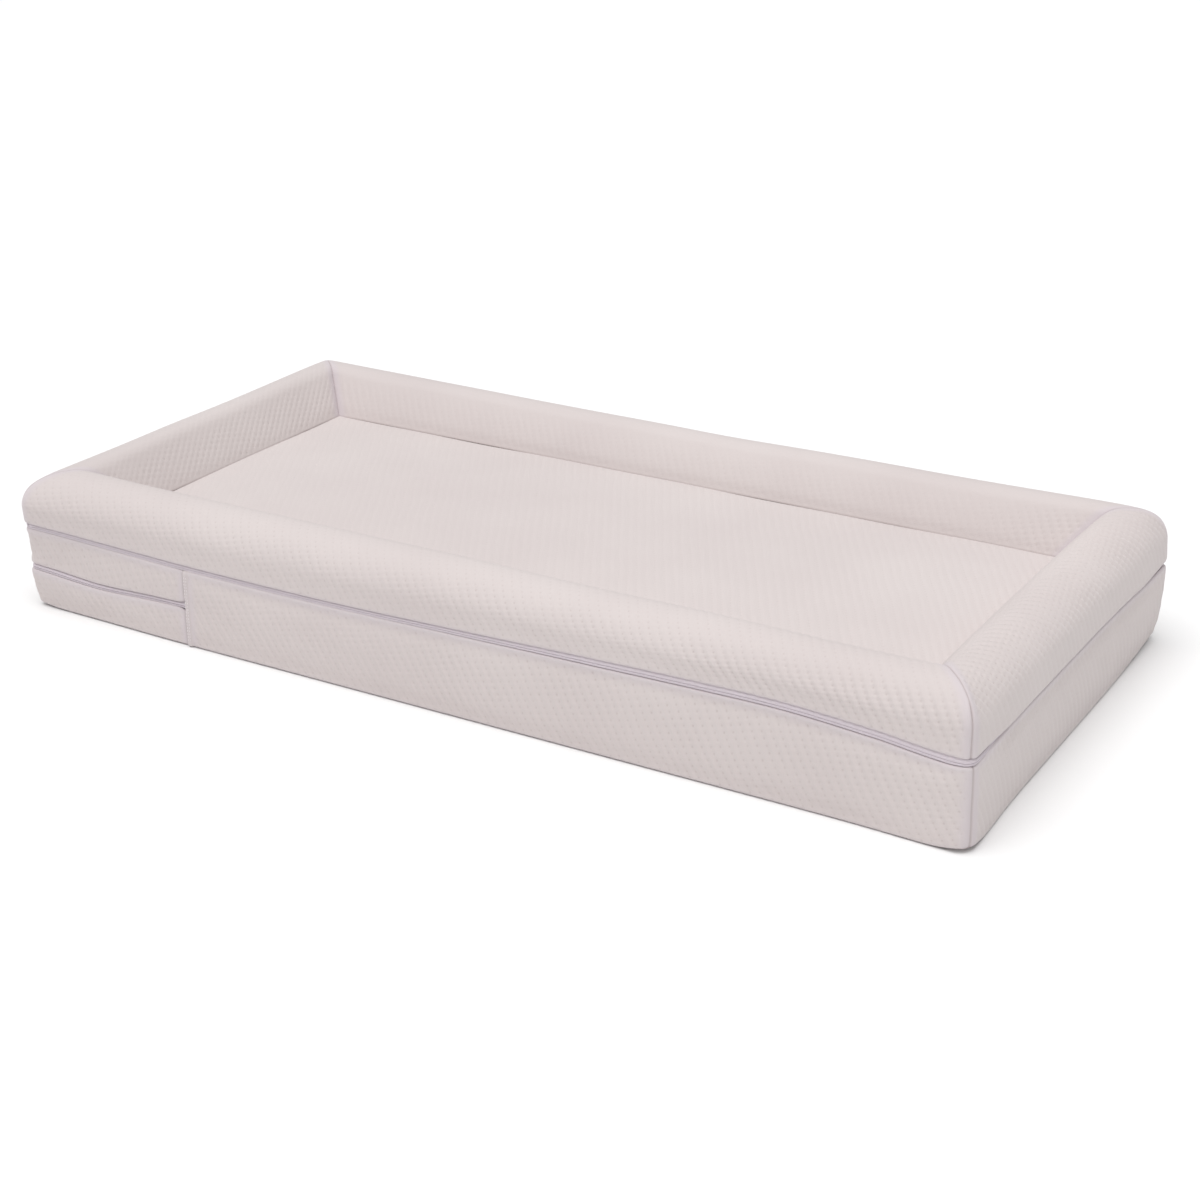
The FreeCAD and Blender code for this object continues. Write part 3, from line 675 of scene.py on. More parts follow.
def finish_piece(piece, body, node, material):
    """Ride on a body, stand in for a CAD node, which is hidden, and wear a material."""
    piece.data.materials.append(material)
    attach(piece, body)
    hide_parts(node)
    return piece


# A kind of seam: width and depth of its valley, width left unquilted, then how wide and how strongly
# painted shade darkens the fabric along it, and how strongly its unquilted margin is tinted.
Seam = namedtuple("Seam", "width depth margin shade dark tint")
RAIL_AT_ZIP = Seam(width=2.5, depth=0.1, margin=5.0, shade=1.4, dark=0.1, tint=1.0)
BAND_AT_ZIP = Seam(width=2.5, depth=0.1, margin=7.5, shade=1.6, dark=0.1, tint=1.0)
BAND_AT_HEM = Seam(width=2.5, depth=0.3, margin=4.0, shade=0.8, dark=0.4, tint=0.6)
UNDER_STRIP = Seam(width=1.0, depth=0.0, margin=9.0, shade=1.0, dark=0.0, tint=1.0)
ROUND_FLOOR = Seam(width=2.2, depth=0.9, margin=2.2, shade=0.5, dark=0.7, tint=0.0)
ROUND_UNDERSIDE = Seam(width=3.0, depth=-0.4, margin=4.0, shade=0.8, dark=0.4, tint=0.6)
VALLEY = Seam(width=5.0, depth=0.7, margin=8.5, shade=0.4, dark=0.0, tint=1.0)
GROOVE = Seam(width=0.45, depth=0.5, margin=1.0, shade=0.4, dark=0.7, tint=0.0)


def stitched_line(distance, margin, strength=1.0):
    """A seam between two panels: a wide soft valley with a fine groove in its middle, darkened by painted
    shade.
    """
    valley = VALLEY._replace(margin=margin)
    groove = GROOVE._replace(dark=GROOVE.dark * strength)
    return [(distance, valley), (distance, groove)]


def quilted(name, points, u, v, seams, lean=None, ribs=1.0, dots=1.0):
    """Sink the quilting and the seams, each a distance and a kind, into a panel, and close it into a
    shell. The quilting's lines wander a little, and so do the fabric's UVs."""
    normal = normals_of(points)
    if lean is not None:
        normal = lean(normal)
    fade = np.minimum.reduce([smooth(away, 0.3 * seam.margin, seam.margin) for away, seam in seams])
    wandering_u = u + 1.1 * waves(u, v, 21, shortest=42)
    wandering_v = v + 0.9 * waves(u, v, 22, shortest=48)
    depth = quilting(wandering_u, wandering_v, ribs * fade, dots * fade)
    for away, seam in seams:
        depth = depth + seam.depth * np.exp(-away / seam.width)
    outer = points - normal * depth[..., None]
    # Stored for the material: how strongly painted shade darkens the dimples and the seams' valleys, and
    # where the lilac tint of the unquilted margins goes.
    values = {
        "dimple": dots * fade,
        "crease_shade": np.maximum.reduce([seam.dark * np.exp(-away / seam.shade) for away, seam in seams]),
        "margin": np.maximum.reduce(
            [seam.tint * (1 - smooth(away / seam.margin, 0.3, 1.3)) for away, seam in seams]
        ),
    }
    return shell(name, outer, np.stack([wandering_u, wandering_v], -1), values)


# ---------------------------------------------------------------- materials


def new_material(name, roughness, sheen=0.0, coat=0.0, specular=0.5):
    """A material and its shader."""
    material = bpy.data.materials.new(name)
    material.use_nodes = True
    shader = material.node_tree.nodes["Principled BSDF"]
    shader.inputs["Roughness"].default_value = roughness
    shader.inputs["Sheen Weight"].default_value = sheen
    shader.inputs["Sheen Roughness"].default_value = 0.5
    shader.inputs["Coat Weight"].default_value = coat
    shader.inputs["Specular IOR Level"].default_value = specular
    return material, shader


def add_node(material, kind, **values):
    """A shader node with its properties and inputs set; an input's spaces are underscores."""
    node = material.node_tree.nodes.new(kind)
    for key, value in values.items():
        if hasattr(node, key):
            setattr(node, key, value)
        else:
            node.inputs[key.replace("_", " ")].default_value = value
    return node


def feed(value, socket):
    """Join another node's output to an input socket, or set the input to a plain value."""
    if isinstance(value, bpy.types.NodeSocket):
        socket.id_data.links.new(value, socket)
    elif value is not None:
        socket.default_value = value


def ramp(material, factor, stops):
    """A colour ramp on a factor; stops are (place, colour)."""
    node = material.node_tree.nodes.new("ShaderNodeValToRGB")
    elements = node.color_ramp.elements
    elements[0].position, elements[0].color = (stops[0][0], (*stops[0][1], 1))
    elements[1].position, elements[1].color = (stops[-1][0], (*stops[-1][1], 1))
    for place, colour in stops[1:-1]:
        elements.new(place).color = (*colour, 1)
    feed(factor, node.inputs["Fac"])
    return node.outputs["Color"]


def mix(material, factor, first, second, blend="MIX"):
    """Mix two colours; each may be a socket or a colour."""
    node = material.node_tree.nodes.new("ShaderNodeMix")
    node.data_type = "RGBA"
    node.blend_type = blend
    sockets = (node.inputs["Factor"], node.inputs[6], node.inputs[7])
    for socket, value in zip(sockets, (factor, first, second)):
        feed((*value, 1) if isinstance(value, tuple) else value, socket)
    return node.outputs[2]


def arithmetic(material, operation, first, second):
    """A math node on two values, each a socket or a number."""
    node = material.node_tree.nodes.new("ShaderNodeMath")
    node.operation = operation
    for socket, value in zip(node.inputs, (first, second)):
        feed(value, socket)
    return node.outputs["Value"]


def vector_math(material, operation, first, second, output="Vector"):
    """A vector operation; a plain number goes to the scale of a SCALE."""
    node = material.node_tree.nodes.new("ShaderNodeVectorMath")
    node.operation = operation
    inputs = (node.inputs[0], node.inputs["Scale"] if operation == "SCALE" else node.inputs[1])
    for socket, value in zip(inputs, (first, second)):
        feed(value, socket)
    return node.outputs[output]


def bump(material, shader, layers):
    """Chain bump layers of (height socket, strength, distance in metres) into the shader."""
    below = None
    for height, strength, distance in layers:
        node = add_node(material, "ShaderNodeBump", Strength=strength, Distance=distance)
        feed(height, node.inputs["Height"])
        if below is not None:
            feed(below, node.inputs["Normal"])
        below = node.outputs["Normal"]
    feed(below, shader.inputs["Normal"])


def fabric_place(material):
    """The fabric's own UVs, in metres."""
    return add_node(material, "ShaderNodeUVMap", uv_map="fabric").outputs["UV"]


def noise(material, scale, detail=2.0):
    """Noise in object coordinates, in cycles for each metre."""
    node = add_node(material, "ShaderNodeTexNoise", Scale=scale, Detail=detail)
    feed(add_node(material, "ShaderNodeTexCoord").outputs["Object"], node.inputs["Vector"])
    return node.outputs["Fac"]


def attribute(material, name):
    """A value stored on the mesh's points."""
    return add_node(material, "ShaderNodeAttribute", attribute_name=name).outputs["Fac"]


def wave_rows(material, vector, direction, scale, distortion=0.0):
    """Even bands across a direction."""
    node = add_node(material, "ShaderNodeTexWave", wave_type="BANDS", Scale=scale, Distortion=distortion)
    node.bands_direction = direction
    feed(vector, node.inputs["Vector"])
    return node.outputs["Fac"]


def lattice_points(material, radius):
    """1 at each dimple of the quilting, falling to 0 at a radius in metres, from the fabric's UVs."""
    place = fabric_place(material)
    apart = None
    for inverse, direction in zip(np.linalg.inv(LATTICE * MM).T, LATTICE * MM):
        cell = vector_math(material, "DOT_PRODUCT", place, (*inverse, 0), "Value")
        nearest = arithmetic(material, "ROUND", cell, 0.0)
        offset = arithmetic(material, "SUBTRACT", cell, nearest)
        part = vector_math(material, "SCALE", (*direction, 0), offset)
        apart = part if apart is None else vector_math(material, "ADD", apart, part)
    distance = vector_math(material, "LENGTH", apart, None, "Value")
    share = arithmetic(material, "DIVIDE", distance, radius)
    return arithmetic(material, "SUBTRACT", 1.0, arithmetic(material, "MINIMUM", share, 1.0))


def quilted_knit():
    """Off-white jersey: fine knitted rows, painted shade in the dimples and along the seams' valleys, and
    lilac margins beside the seams."""
    material, shader = new_material("quilted_knit", roughness=0.92, sheen=0.25, specular=0.2)
    mottle = noise(material, 7.0, detail=3.0)
    base = ramp(material, mottle, [(0.3, (0.630, 0.565, 0.556)), (0.7, (0.668, 0.606, 0.594))])
    margin = arithmetic(material, "MULTIPLY", attribute(material, "margin"), 0.45)
    tinted = mix(material, margin, base, (0.625, 0.565, 0.615))
    # Painted shade: the fabric is darkened towards deep brown in the quilting's dimples, more in some
    # than in others.
    at_dimples = lattice_points(material, 0.0011)
    points = arithmetic(material, "MULTIPLY", at_dimples, attribute(material, "dimple"))
    uneven = arithmetic(material, "MULTIPLY", noise(material, 120.0), 0.9)
    dimple_shade_strength = arithmetic(material, "MULTIPLY", uneven, noise(material, 6.0))
    dimple_shaded = mix(material, arithmetic(material, "MULTIPLY", points, dimple_shade_strength), tinted, (0.40, 0.32, 0.30))
    fuzz = noise(material, 900.0, detail=2.0)
    speckled = mix(material, arithmetic(material, "MULTIPLY", fuzz, 0.10), dimple_shaded, (0.60, 0.54, 0.53))
    # Painted shade: the fabric darkens towards deep brown along the seams' valleys and the covers' edges
    # at the zips.
    crease_shade = arithmetic(material, "MULTIPLY", attribute(material, "crease_shade"), 0.75)
    feed(mix(material, crease_shade, speckled, (0.36, 0.29, 0.28)), shader.inputs["Base Color"])
    loops = wave_rows(material, fabric_place(material), "X", 210.0, 1.2)
    courses = wave_rows(material, fabric_place(material), "Y", 260.0, 0.8)
    knit = arithmetic(material, "MULTIPLY", loops, courses)
    bump(material, shader, [(knit, 0.35, 0.0002), (fuzz, 0.25, 0.0002)])
    return material


def plain_weave(name, colour, shade):
    """A thin plain-woven lining."""
    material, shader = new_material(name, roughness=0.85, sheen=0.15, specular=0.25)
    tone = ramp(material, noise(material, 14.0), [(0.3, shade), (0.7, colour)])
    threads = arithmetic(material, "MULTIPLY", noise(material, 1400.0), 0.15)
    feed(mix(material, threads, tone, shade), shader.inputs["Base Color"])
    warp = wave_rows(material, fabric_place(material), "X", 500.0)
    weft = wave_rows(material, fabric_place(material), "Y", 500.0)
    bump(material, shader, [(arithmetic(material, "ADD", warp, weft), 0.4, 0.0001)])
    return material


def zip_tape():
    """Lilac-white twill tape, ribbed along its length where the coil is sewn behind it, with painted
    shade along its fold beside the coil.
    """
    material, shader = new_material("zip_tape", roughness=0.62, sheen=0.2, specular=0.4)
    ribs = wave_rows(material, fabric_place(material), "Y", 330.0)
    stops = [(0.0, (0.62, 0.55, 0.59)), (0.45, (0.69, 0.62, 0.66)), (1.0, (0.75, 0.68, 0.73))]
    tone = ramp(material, ribs, stops)
    # Painted shade along the fold between the two tapes, towards a dark lilac.
    fold = arithmetic(material, "MULTIPLY", attribute(material, "crease_shade"), 0.6)
    feed(mix(material, fold, tone, (0.46, 0.39, 0.45)), shader.inputs["Base Color"])
    twill = add_node(material, "ShaderNodeMapping")
    twill.inputs["Rotation"].default_value = (0, 0, math.radians(35))
    feed(fabric_place(material), twill.inputs["Vector"])
    threads = wave_rows(material, twill.outputs["Vector"], "X", 420.0)
    bump(material, shader, [(ribs, 0.5, 0.0003), (threads, 0.3, 0.0001)])
    return material


def mottled(name, scale, dark, light, grain, **surface):
    """Two tones mottled by noise of one scale, with a grain of (scale, strength, distance)."""
    material, shader = new_material(name, **surface)
    tone = ramp(material, noise(material, scale), [(0.3, dark), (0.7, light)])
    feed(tone, shader.inputs["Base Color"])
    bump(material, shader, [(noise(material, grain[0]), *grain[1:])])
    return material


def open_foam():
    """Cream polyurethane foam with small open cells, their hollows darkened by painted shade."""
    material, shader = new_material("open_foam", roughness=0.95, sheen=0.1, specular=0.15)
    cells = add_node(material, "ShaderNodeTexVoronoi", Scale=650.0)
    feed(add_node(material, "ShaderNodeTexCoord").outputs["Object"], cells.inputs["Vector"])
    # Painted shade: each cell is darker towards its hollow middle.
    stops = [(0.0, (0.42, 0.38, 0.27)), (0.35, (0.76, 0.71, 0.56)), (1.0, (0.84, 0.80, 0.67))]
    depth = ramp(material, cells.outputs["Distance"], stops)
    yellowing = arithmetic(material, "MULTIPLY", noise(material, 11.0), 0.35)
    feed(mix(material, yellowing, depth, (0.80, 0.72, 0.50)), shader.inputs["Base Color"])
    coarse = noise(material, 240.0)
    bump(material, shader, [(cells.outputs["Distance"], 0.8, 0.0008), (coarse, 0.4, 0.001)])
    return material


def enamel():
    """White enamelled zinc, with metal showing where the edges rub."""
    material, shader = new_material("zip_enamel", roughness=0.3, coat=0.4, specular=0.5)
    wear = add_node(material, "ShaderNodeNewGeometry").outputs["Pointiness"]
    grime = noise(material, 700.0, detail=4.0)
    worn = ramp(material, wear, [(0.54, (0, 0, 0)), (0.62, (1, 1, 1))])
    rubbed = arithmetic(material, "MULTIPLY", worn, grime)
    tone = ramp(material, grime, [(0.3, (0.74, 0.72, 0.78)), (0.7, (0.80, 0.79, 0.84))])
    feed(mix(material, rubbed, tone, (0.45, 0.44, 0.44)), shader.inputs["Base Color"])
    bump(material, shader, [(noise(material, 1500.0), 0.1, 0.00005)])
    return material


KNIT = quilted_knit()
LINING = plain_weave("inner_lining", (0.84, 0.82, 0.80), (0.75, 0.73, 0.71))
TAPE = zip_tape()
COIL = mottled("zip_coil", 60.0, (0.74, 0.71, 0.80), (0.80, 0.78, 0.85), (2500.0, 0.15, 0.00005),
               roughness=0.35)
FOAM = open_foam()
THREAD = mottled("thread", 300.0, (0.70, 0.64, 0.66), (0.86, 0.82, 0.82), (3000.0, 0.4, 0.0001),
                 roughness=0.5, sheen=0.2, specular=0.45)
ENAMEL = enamel()


# ---------------------------------------------------------------- tray covers


def rail_quilting(side, place, half, height, v, rise):
    """How strongly the ribs and the dimples show on a rail: the fabric is stretched over the crest and
    slacker towards the front's right end."""
    crest = smooth(height, 98, 112)
    inner = smooth(v, 0.5 * rise, 0.6 * rise)
    if side == "front":
        return (0.8 + 0.8 * smooth(place, 0.2 * half, 0.9 * half)) * (1 - 0.65 * crest), 1 - 0.4 * crest
    if side == "right":
        high_up = smooth(height, 90, 104) * (1 - 0.5 * inner)
        return 0.4 + 1.8 * high_up, 0.35 + 0.55 * smooth(height, 86, 98)
    if side == "back":
        far = smooth(-place, 0.55 * half, 0.95 * half)
        return (0.35 + 0.5 * far) * (1 - 0.8 * crest), (0.3 + 0.5 * far) * (1 - 0.7 * crest)
    return 0.25 * (1 - 0.6 * crest), 0.85 - 0.5 * crest


def drawn_flat(side, height, share):
    """How much of its swelling a rail doesn't have, by height and by share of the way to its foot: the
    front's outer wall and the left rail's inner wall lie flatter than the others."""
    if side == "front":
        return 0.6 * (1 - smooth(height, 76, 104))
    if side == "left":
        return 0.7 * smooth(share, 0.5, 0.62)
    return 0 * height


def rim_panel(side):
    """One rail's cover, mitred at both ends."""
    along, inward, half, _ = SIDES[side]
    base = rail_profile()
    rise = lengths_along(base)[-1]
    profile = resample(base, steps_for(rise, FINE))
    columns = steps_for(2 * half, FINE)
    grid, outward, to_mitre, place = mitred_grid(side, profile, columns)
    points = settle(stand_out(grid, outward))
    v = np.linspace(0, rise, len(profile))[:, None] + 0 * place
    swelling = 1 - drawn_flat(side, grid[..., 2], v / rise) * smooth(to_mitre, 0, 45)
    points += swelling[..., None] * grid_puff(TRAY_PUFF[side], *grid.shape[:2])
    ends = (np.array([*along, 0.0]), np.array([*inward, 0.0]))

    def bisect(normal):
        """Beside a mitre the normal leans into the mitre's own plane, and at the foot it is upright."""
        lean = np.exp(-to_mitre / 5.0)[..., None]
        across = np.sign(place)[..., None] * ends[0] + ends[1]
        across = across / math.sqrt(2)
        flat = normal - (normal * across).sum(-1, keepdims=True) * across
        flat = flat / np.maximum(np.linalg.norm(flat, axis=-1, keepdims=True), 0.2)
        mixed = normal * (1 - lean) + lean * flat
        foot = np.exp(-(rise - v) / 3.0)[..., None]
        mixed = mixed * (1 - foot) + foot * np.array([0.0, 0.0, 1.0])
        return mixed / np.linalg.norm(mixed, axis=-1, keepdims=True)

    seams = stitched_line(to_mitre, 8.5, 1 - 0.5 * smooth(v, 0.55 * rise, 0.7 * rise))
    seams += [(v, RAIL_AT_ZIP), (rise - v, ROUND_FLOOR)]
    ribs, dots = rail_quilting(side, place, half, grid[..., 2], v, rise)
    u = 0.7 * v - place if side == "left" else place
    piece = quilted(f"rim_cover_{side}", points, u, v, seams, bisect, ribs, dots)
    return finish_piece(piece, "tray", f"rim_panel_{side}", KNIT)


def level_grid(half_x, half_y, spacing):
    """Places of a level panel's points and their distance to its nearest edge."""
    x = np.linspace(-half_x, half_x, steps_for(2 * half_x, spacing))
    y = np.linspace(-half_y, half_y, steps_for(2 * half_y, spacing))
    grid_x, grid_y = np.meshgrid(x, y)
    return grid_x, grid_y, np.minimum(half_x - np.abs(grid_x), half_y - np.abs(grid_y))


def upright(normal):
    """Everywhere straight up, for a level panel."""
    return normal * 0 + np.array([0.0, 0.0, 1.0])


def downward(normal):
    """Everywhere straight down, for the underside."""
    return -upright(normal)


def floor_panel():
    """The recessed floor, softly domed and drawn down at its seam."""
    half_x, half_y = (FLOOR_HALF_X, FLOOR_HALF_Y)
    grid_x, grid_y, to_edge = level_grid(half_x, half_y, WIDE)
    points = settle(np.stack([grid_x, grid_y, np.full(grid_x.shape, FLOOR)], -1))
    points += grid_puff(TRAY_PUFF["floor"], *grid_x.shape)
    points[..., 2] += 0.8 * waves(grid_x, grid_y, 5, shortest=110)
    strength = 0.6 + 0.4 * smooth(grid_x, -half_x, half_x)
    seams = [(to_edge, ROUND_FLOOR)]
    piece = quilted("floor_cover", points, grid_x, grid_y, seams, upright, strength, dots=0.5)
    return finish_piece(piece, "tray", "tray_floor_panel", KNIT)


for side in SIDES:
    rim_panel(side)
floor_panel()


# ---------------------------------------------------------------- base covers


def band(name, node, start, end, profile, sewn=(True, True), ribs=1.0, dots=1.0):
    """A side panel of the base between two distances round the outline. Where its ends are sewn to the
    next panel they sink into a seam with painted shade, and where they run on under a strip they don't."""
    rise = lengths_along(profile)[-1]
    profile = resample(profile, steps_for(rise, FINE))
    distances = np.linspace(start, end, steps_for(end - start, FINE))
    grid, outward, distance = ring_grid(distances, profile)
    points = settle(stand_out(grid, outward))
    points += wall_puff(distance[0], profile[:, 1])
    v = np.linspace(0, rise, len(profile))[:, None] + 0 * distance
    seams = [(v, BAND_AT_HEM), (rise - v, BAND_AT_ZIP)]
    for to_end, crease_shade in zip((distance - start, end - distance), sewn):
        if crease_shade:
            seams += stitched_line(to_end, 7.0)
        else:
            seams.append((to_end, UNDER_STRIP))
    piece = quilted(name, points, distance, v, seams, ribs=ribs, dots=dots)
    return finish_piece(piece, "base", node, KNIT)


def underside():
    """The panel that the pad lies on."""
    half_x = LENGTH / 2 - HEM_CURL
    half_y = WIDTH / 2 - HEM_CURL
    grid_x, grid_y, to_edge = level_grid(half_x, half_y, UNDERSIDE_SPACING)
    grid_y = -grid_y
    cut_in = CORNER - HEM_CURL
    past_x = np.maximum(np.abs(grid_x) - half_x + cut_in, 0)
    past_y = np.maximum(np.abs(grid_y) - half_y + cut_in, 0)
    reach = np.maximum(np.maximum(past_x, past_y), 1e-6) / np.maximum(np.hypot(past_x, past_y), 1e-6)
    rounded_x = np.sign(grid_x) * (np.abs(grid_x) - past_x * (1 - reach))
    rounded_y = np.sign(grid_y) * (np.abs(grid_y) - past_y * (1 - reach))
    height = UNDERSIDE * np.exp(-to_edge / 6.0) + 0.3 + 0.25 * waves(grid_x, grid_y, 9, shortest=130)
    points = np.stack([rounded_x, rounded_y, height], -1)
    to_side = np.stack([LENGTH / 2 - np.abs(grid_x), WIDTH / 2 - np.abs(grid_y)], -1)
    share = np.exp(-(to_side - to_side.min(-1, keepdims=True)) / 8.0)
    outward = np.where(points[..., :2] < 0, -1, 1) * share
    outward = outward / np.linalg.norm(outward, axis=-1, keepdims=True)
    points = settle(stand_out(points, outward))
    seams = [(to_edge, ROUND_UNDERSIDE)]
    piece = quilted("underside_cover", points, grid_x, -grid_y, seams, downward)
    return finish_piece(piece, "base", "base_bottom_panel", KNIT)


FULL_BAND = band_profile(UNDERSIDE, BASE_EDGE, HEM_CURL, ZIP_CURL)
UPPER_BAND = band_profile(END_HIGH_EDGE, BASE_EDGE, ZIP_CURL, ZIP_CURL)
LOWER_BAND = band_profile(UNDERSIDE, END_LOW_EDGE, HEM_CURL, ZIP_CURL)
END_STRETCH = (BACK_STRIP_TO, PERIMETER + STRIP_LEFT)
band("band_front", "base_band_front", STRIP_LEFT + 1.5, RIGHT_FRONT_CORNER, FULL_BAND, (False, True), 1.1)
band("band_right", "base_band_right", RIGHT_FRONT_CORNER, RIGHT_BACK_CORNER, FULL_BAND,
     ribs=0.6, dots=0.5)
band("band_back", "base_band_back", RIGHT_BACK_CORNER, BACK_STRIP_TO - 1.5, FULL_BAND, (True, False))
band("band_left_upper", "base_band_left_upper", *END_STRETCH, UPPER_BAND)
band("band_left_lower", "base_band_left_lower", *END_STRETCH, LOWER_BAND)
underside()


# ---------------------------------------------------------------- zips, strips and thread


def sweep(start, end, section, centre, face, spacing, closing, swell=None, closed=False):
    """Sweep a closed (inset, height) section round the outline; swell scales it at each station.
    Where the zip is closed, its face comes forward, most where it gapes, and rises by its closing."""
    count = max(4, round((end - start) / spacing))
    distance = start + (end - start) * np.arange(count + (0 if closed else 1)) / count
    section = np.asarray(section, float)
    middle = section.mean(0)
    scale = np.ones(len(distance)) if swell is None else swell(np.arange(len(distance)))
    shape = middle + (section - middle)[None] * scale[:, None, None]
    plan, outward = ring_plan(distance[:, None] + 0 * shape[..., 0], shape[..., 0])
    shut = away_from_sliders(plan[..., 0], plan[..., 1])[..., None]
    from_face = np.abs(shape[..., 1:] - centre) - face
    most = 0.7 + 0.3 * gaping(plan[..., 0], plan[..., 1])[..., None]
    forward = ZIP_FORWARD * most * shut * (1 - smooth(from_face, 0.6, 2.8))
    plan = plan + outward * forward
    points = np.concatenate([plan, shape[..., 1:] + closing * shut], -1)
    points = settle(stand_out(points, outward))
    stations, corners = shape.shape[:2]
    if closed:
        around = grid_faces(stations + 1, corners, periodic=True)
        faces = [[corner % (stations * corners) for corner in face] for face in around]
    else:
        faces = tube_faces(stations, corners)
    girth = lengths_along(section)
    uv = np.stack([distance[:, None] + 0 * girth, girth[None] + 0 * distance[:, None]], -1).reshape(-1, 2)
    return points.reshape(-1, 3), [face[::-1] for face in faces], uv


def tape_section(centre, above, face):
    """A tape's section: a fold beside the coil, a ribbed face and a flat part sewn behind the cover."""
    way = 1 if above else -1
    fold = 0.35
    outline = [
        (TAPE_GAUGE, fold), (0.1, fold), (-0.3, fold + 0.2), (-0.45, 0.45 * face), (-0.2, 0.6 * face),
        (-0.4, 0.75 * face), (-0.25, face), (0.1, face + 0.4), (0, face + 1.0), (0, face + 2.2),
        (0, fold + TAPE_WIDTH), (TAPE_GAUGE, fold + TAPE_WIDTH), (TAPE_GAUGE, face + 2.2),
        (TAPE_GAUGE, face + 1.0), (TAPE_GAUGE, face + 0.4),
    ]
    points = [(TAPE_INSET + across, centre + way * up) for across, up in outline]
    return points if above else points[::-1]


def tape(name, body, node, centre, face, above, start, end, closed):
    """One tape of a zip, between two distances round the outline."""
    section = tape_section(centre, above, face)
    closing = -0.28 if above else 0.28
    vertices, faces, uv = sweep(start, end, section, centre, face, 2.5, closing, closed=closed)
    from_middle = np.abs(np.asarray(section)[:, 1] - centre)
    # Painted shadow along the fold at the zip's middle, stored for the tape's material.
    shadow = 0.3 * np.exp(-(from_middle / 0.5) ** 2)
    stations = len(vertices) // len(section)
    piece = mesh_object(name, vertices, faces, uv, {"crease_shade": np.tile(shadow, stations)}, sharp=70)
    return finish_piece(piece, body, node, TAPE)


def coil(name, body, node, centre, face, above, start, end, closed):
    """The coil behind a tape: one bead for each turn."""

    def bead(station):
        """Every turn of the coil is two stations, a wide one and a narrow one."""
        return np.where(station % 2 == 0, 1.0, 0.72)

    inset = TAPE_INSET + TAPE_GAUGE
    way = 1 if above else -1
    middle = (inset + COIL_DEPTH / 2, centre + way * 1.45)
    angles = np.radians(np.arange(0, 360, 60))
    section = [(middle[0] + 0.95 * math.cos(a), middle[1] - 0.72 * math.sin(a)) for a in angles]
    closing = -0.65 * way
    vertices, faces, uv = sweep(start, end, section, centre, face, COIL_PITCH / 2, closing, bead, closed)
    piece = mesh_object(name, vertices, faces, uv, sharp=180)
    return finish_piece(piece, body, node, COIL)


def seam_strip(name, node, start, end, steep_first):
    """The folded strip that closes the end of the short zip, with its two rows of stitches. Its edge
    beside that zip is steep, and the other lies down on the long panel."""
    profile = resample(band_profile(UNDERSIDE, BASE_EDGE, HEM_CURL, ZIP_CURL), 45)
    grid, outward, distance = ring_grid(np.linspace(start, end, 13), profile)
    points = settle(stand_out(grid, outward))
    points += wall_puff(distance[0], profile[:, 1])
    share = (distance - start) / (end - start)
    if not steep_first:
        share = 1 - share
    crown = 1.25 * smooth(share, -0.05, 0.2) * (1 - smooth(share, 0.5, 1.05)) - 0.1
    points[..., :2] += outward * crown[..., None]
    v = lengths_along(profile)[:, None] + 0 * distance
    # Painted shade along the strip's steep edge beside the short zip; no dimples, and half the lilac
    # tint.
    values = {"dimple": 0 * v, "crease_shade": np.exp(-share / 0.05), "margin": 0 * v + 0.5}
    piece = shell(name, points, np.stack([distance, v], -1), values, STRIP_THICKNESS)
    finish_piece(piece, "base", node, KNIT)
    stitches = []
    for column in (4, 8):
        stitches += stitch_row(points[3:-3, column], outward[3:-3, column])
    thread = joined_mesh(f"{name}_stitches", stitches)
    thread.data.materials.append(THREAD)
    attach(thread, "base")
    return piece


def stitch_row(line, outward):
    """Small thread beads along a line of points, each sunk at both ends."""
    along = lengths_along(line)
    radius = THREAD_RADIUS
    beads = []
    for middle in np.arange(STITCH_PITCH, along[-1] - STITCH_PITCH, STITCH_PITCH):
        places = np.linspace(middle - STITCH_LENGTH / 2, middle + STITCH_LENGTH / 2, 5)
        spine = np.stack([np.interp(places, along, column) for column in line.T], -1)
        out = np.array([*outward[int(np.argmin(np.abs(along - middle)))], 0.0])
        spine = spine + out * (radius * np.sin(np.linspace(0, math.pi, 5)))[:, None] * 1.6 - out * 0.12
        beads.append((spine, out, radius * np.array([0.55, 1, 1.1, 1, 0.55])))
    return beads


def joined_mesh(name, beads):
    """Closed little tubes in one mesh."""
    vertices = []
    faces = []
    for spine, out, radii in beads:
        ahead = (spine[-1] - spine[0]) / np.linalg.norm(spine[-1] - spine[0])
        across = np.cross(ahead, out)
        first = len(vertices)
        for point, radius in zip(spine, radii):
            for corner in range(THREAD_SIDES):
                turn = 2 * math.pi * corner / THREAD_SIDES
                vertices.append(point + radius * (math.cos(turn) * out + math.sin(turn) * across))
        faces += tube_faces(len(spine), THREAD_SIDES, first)
    return mesh_object(name, np.array(vertices), faces, sharp=180)


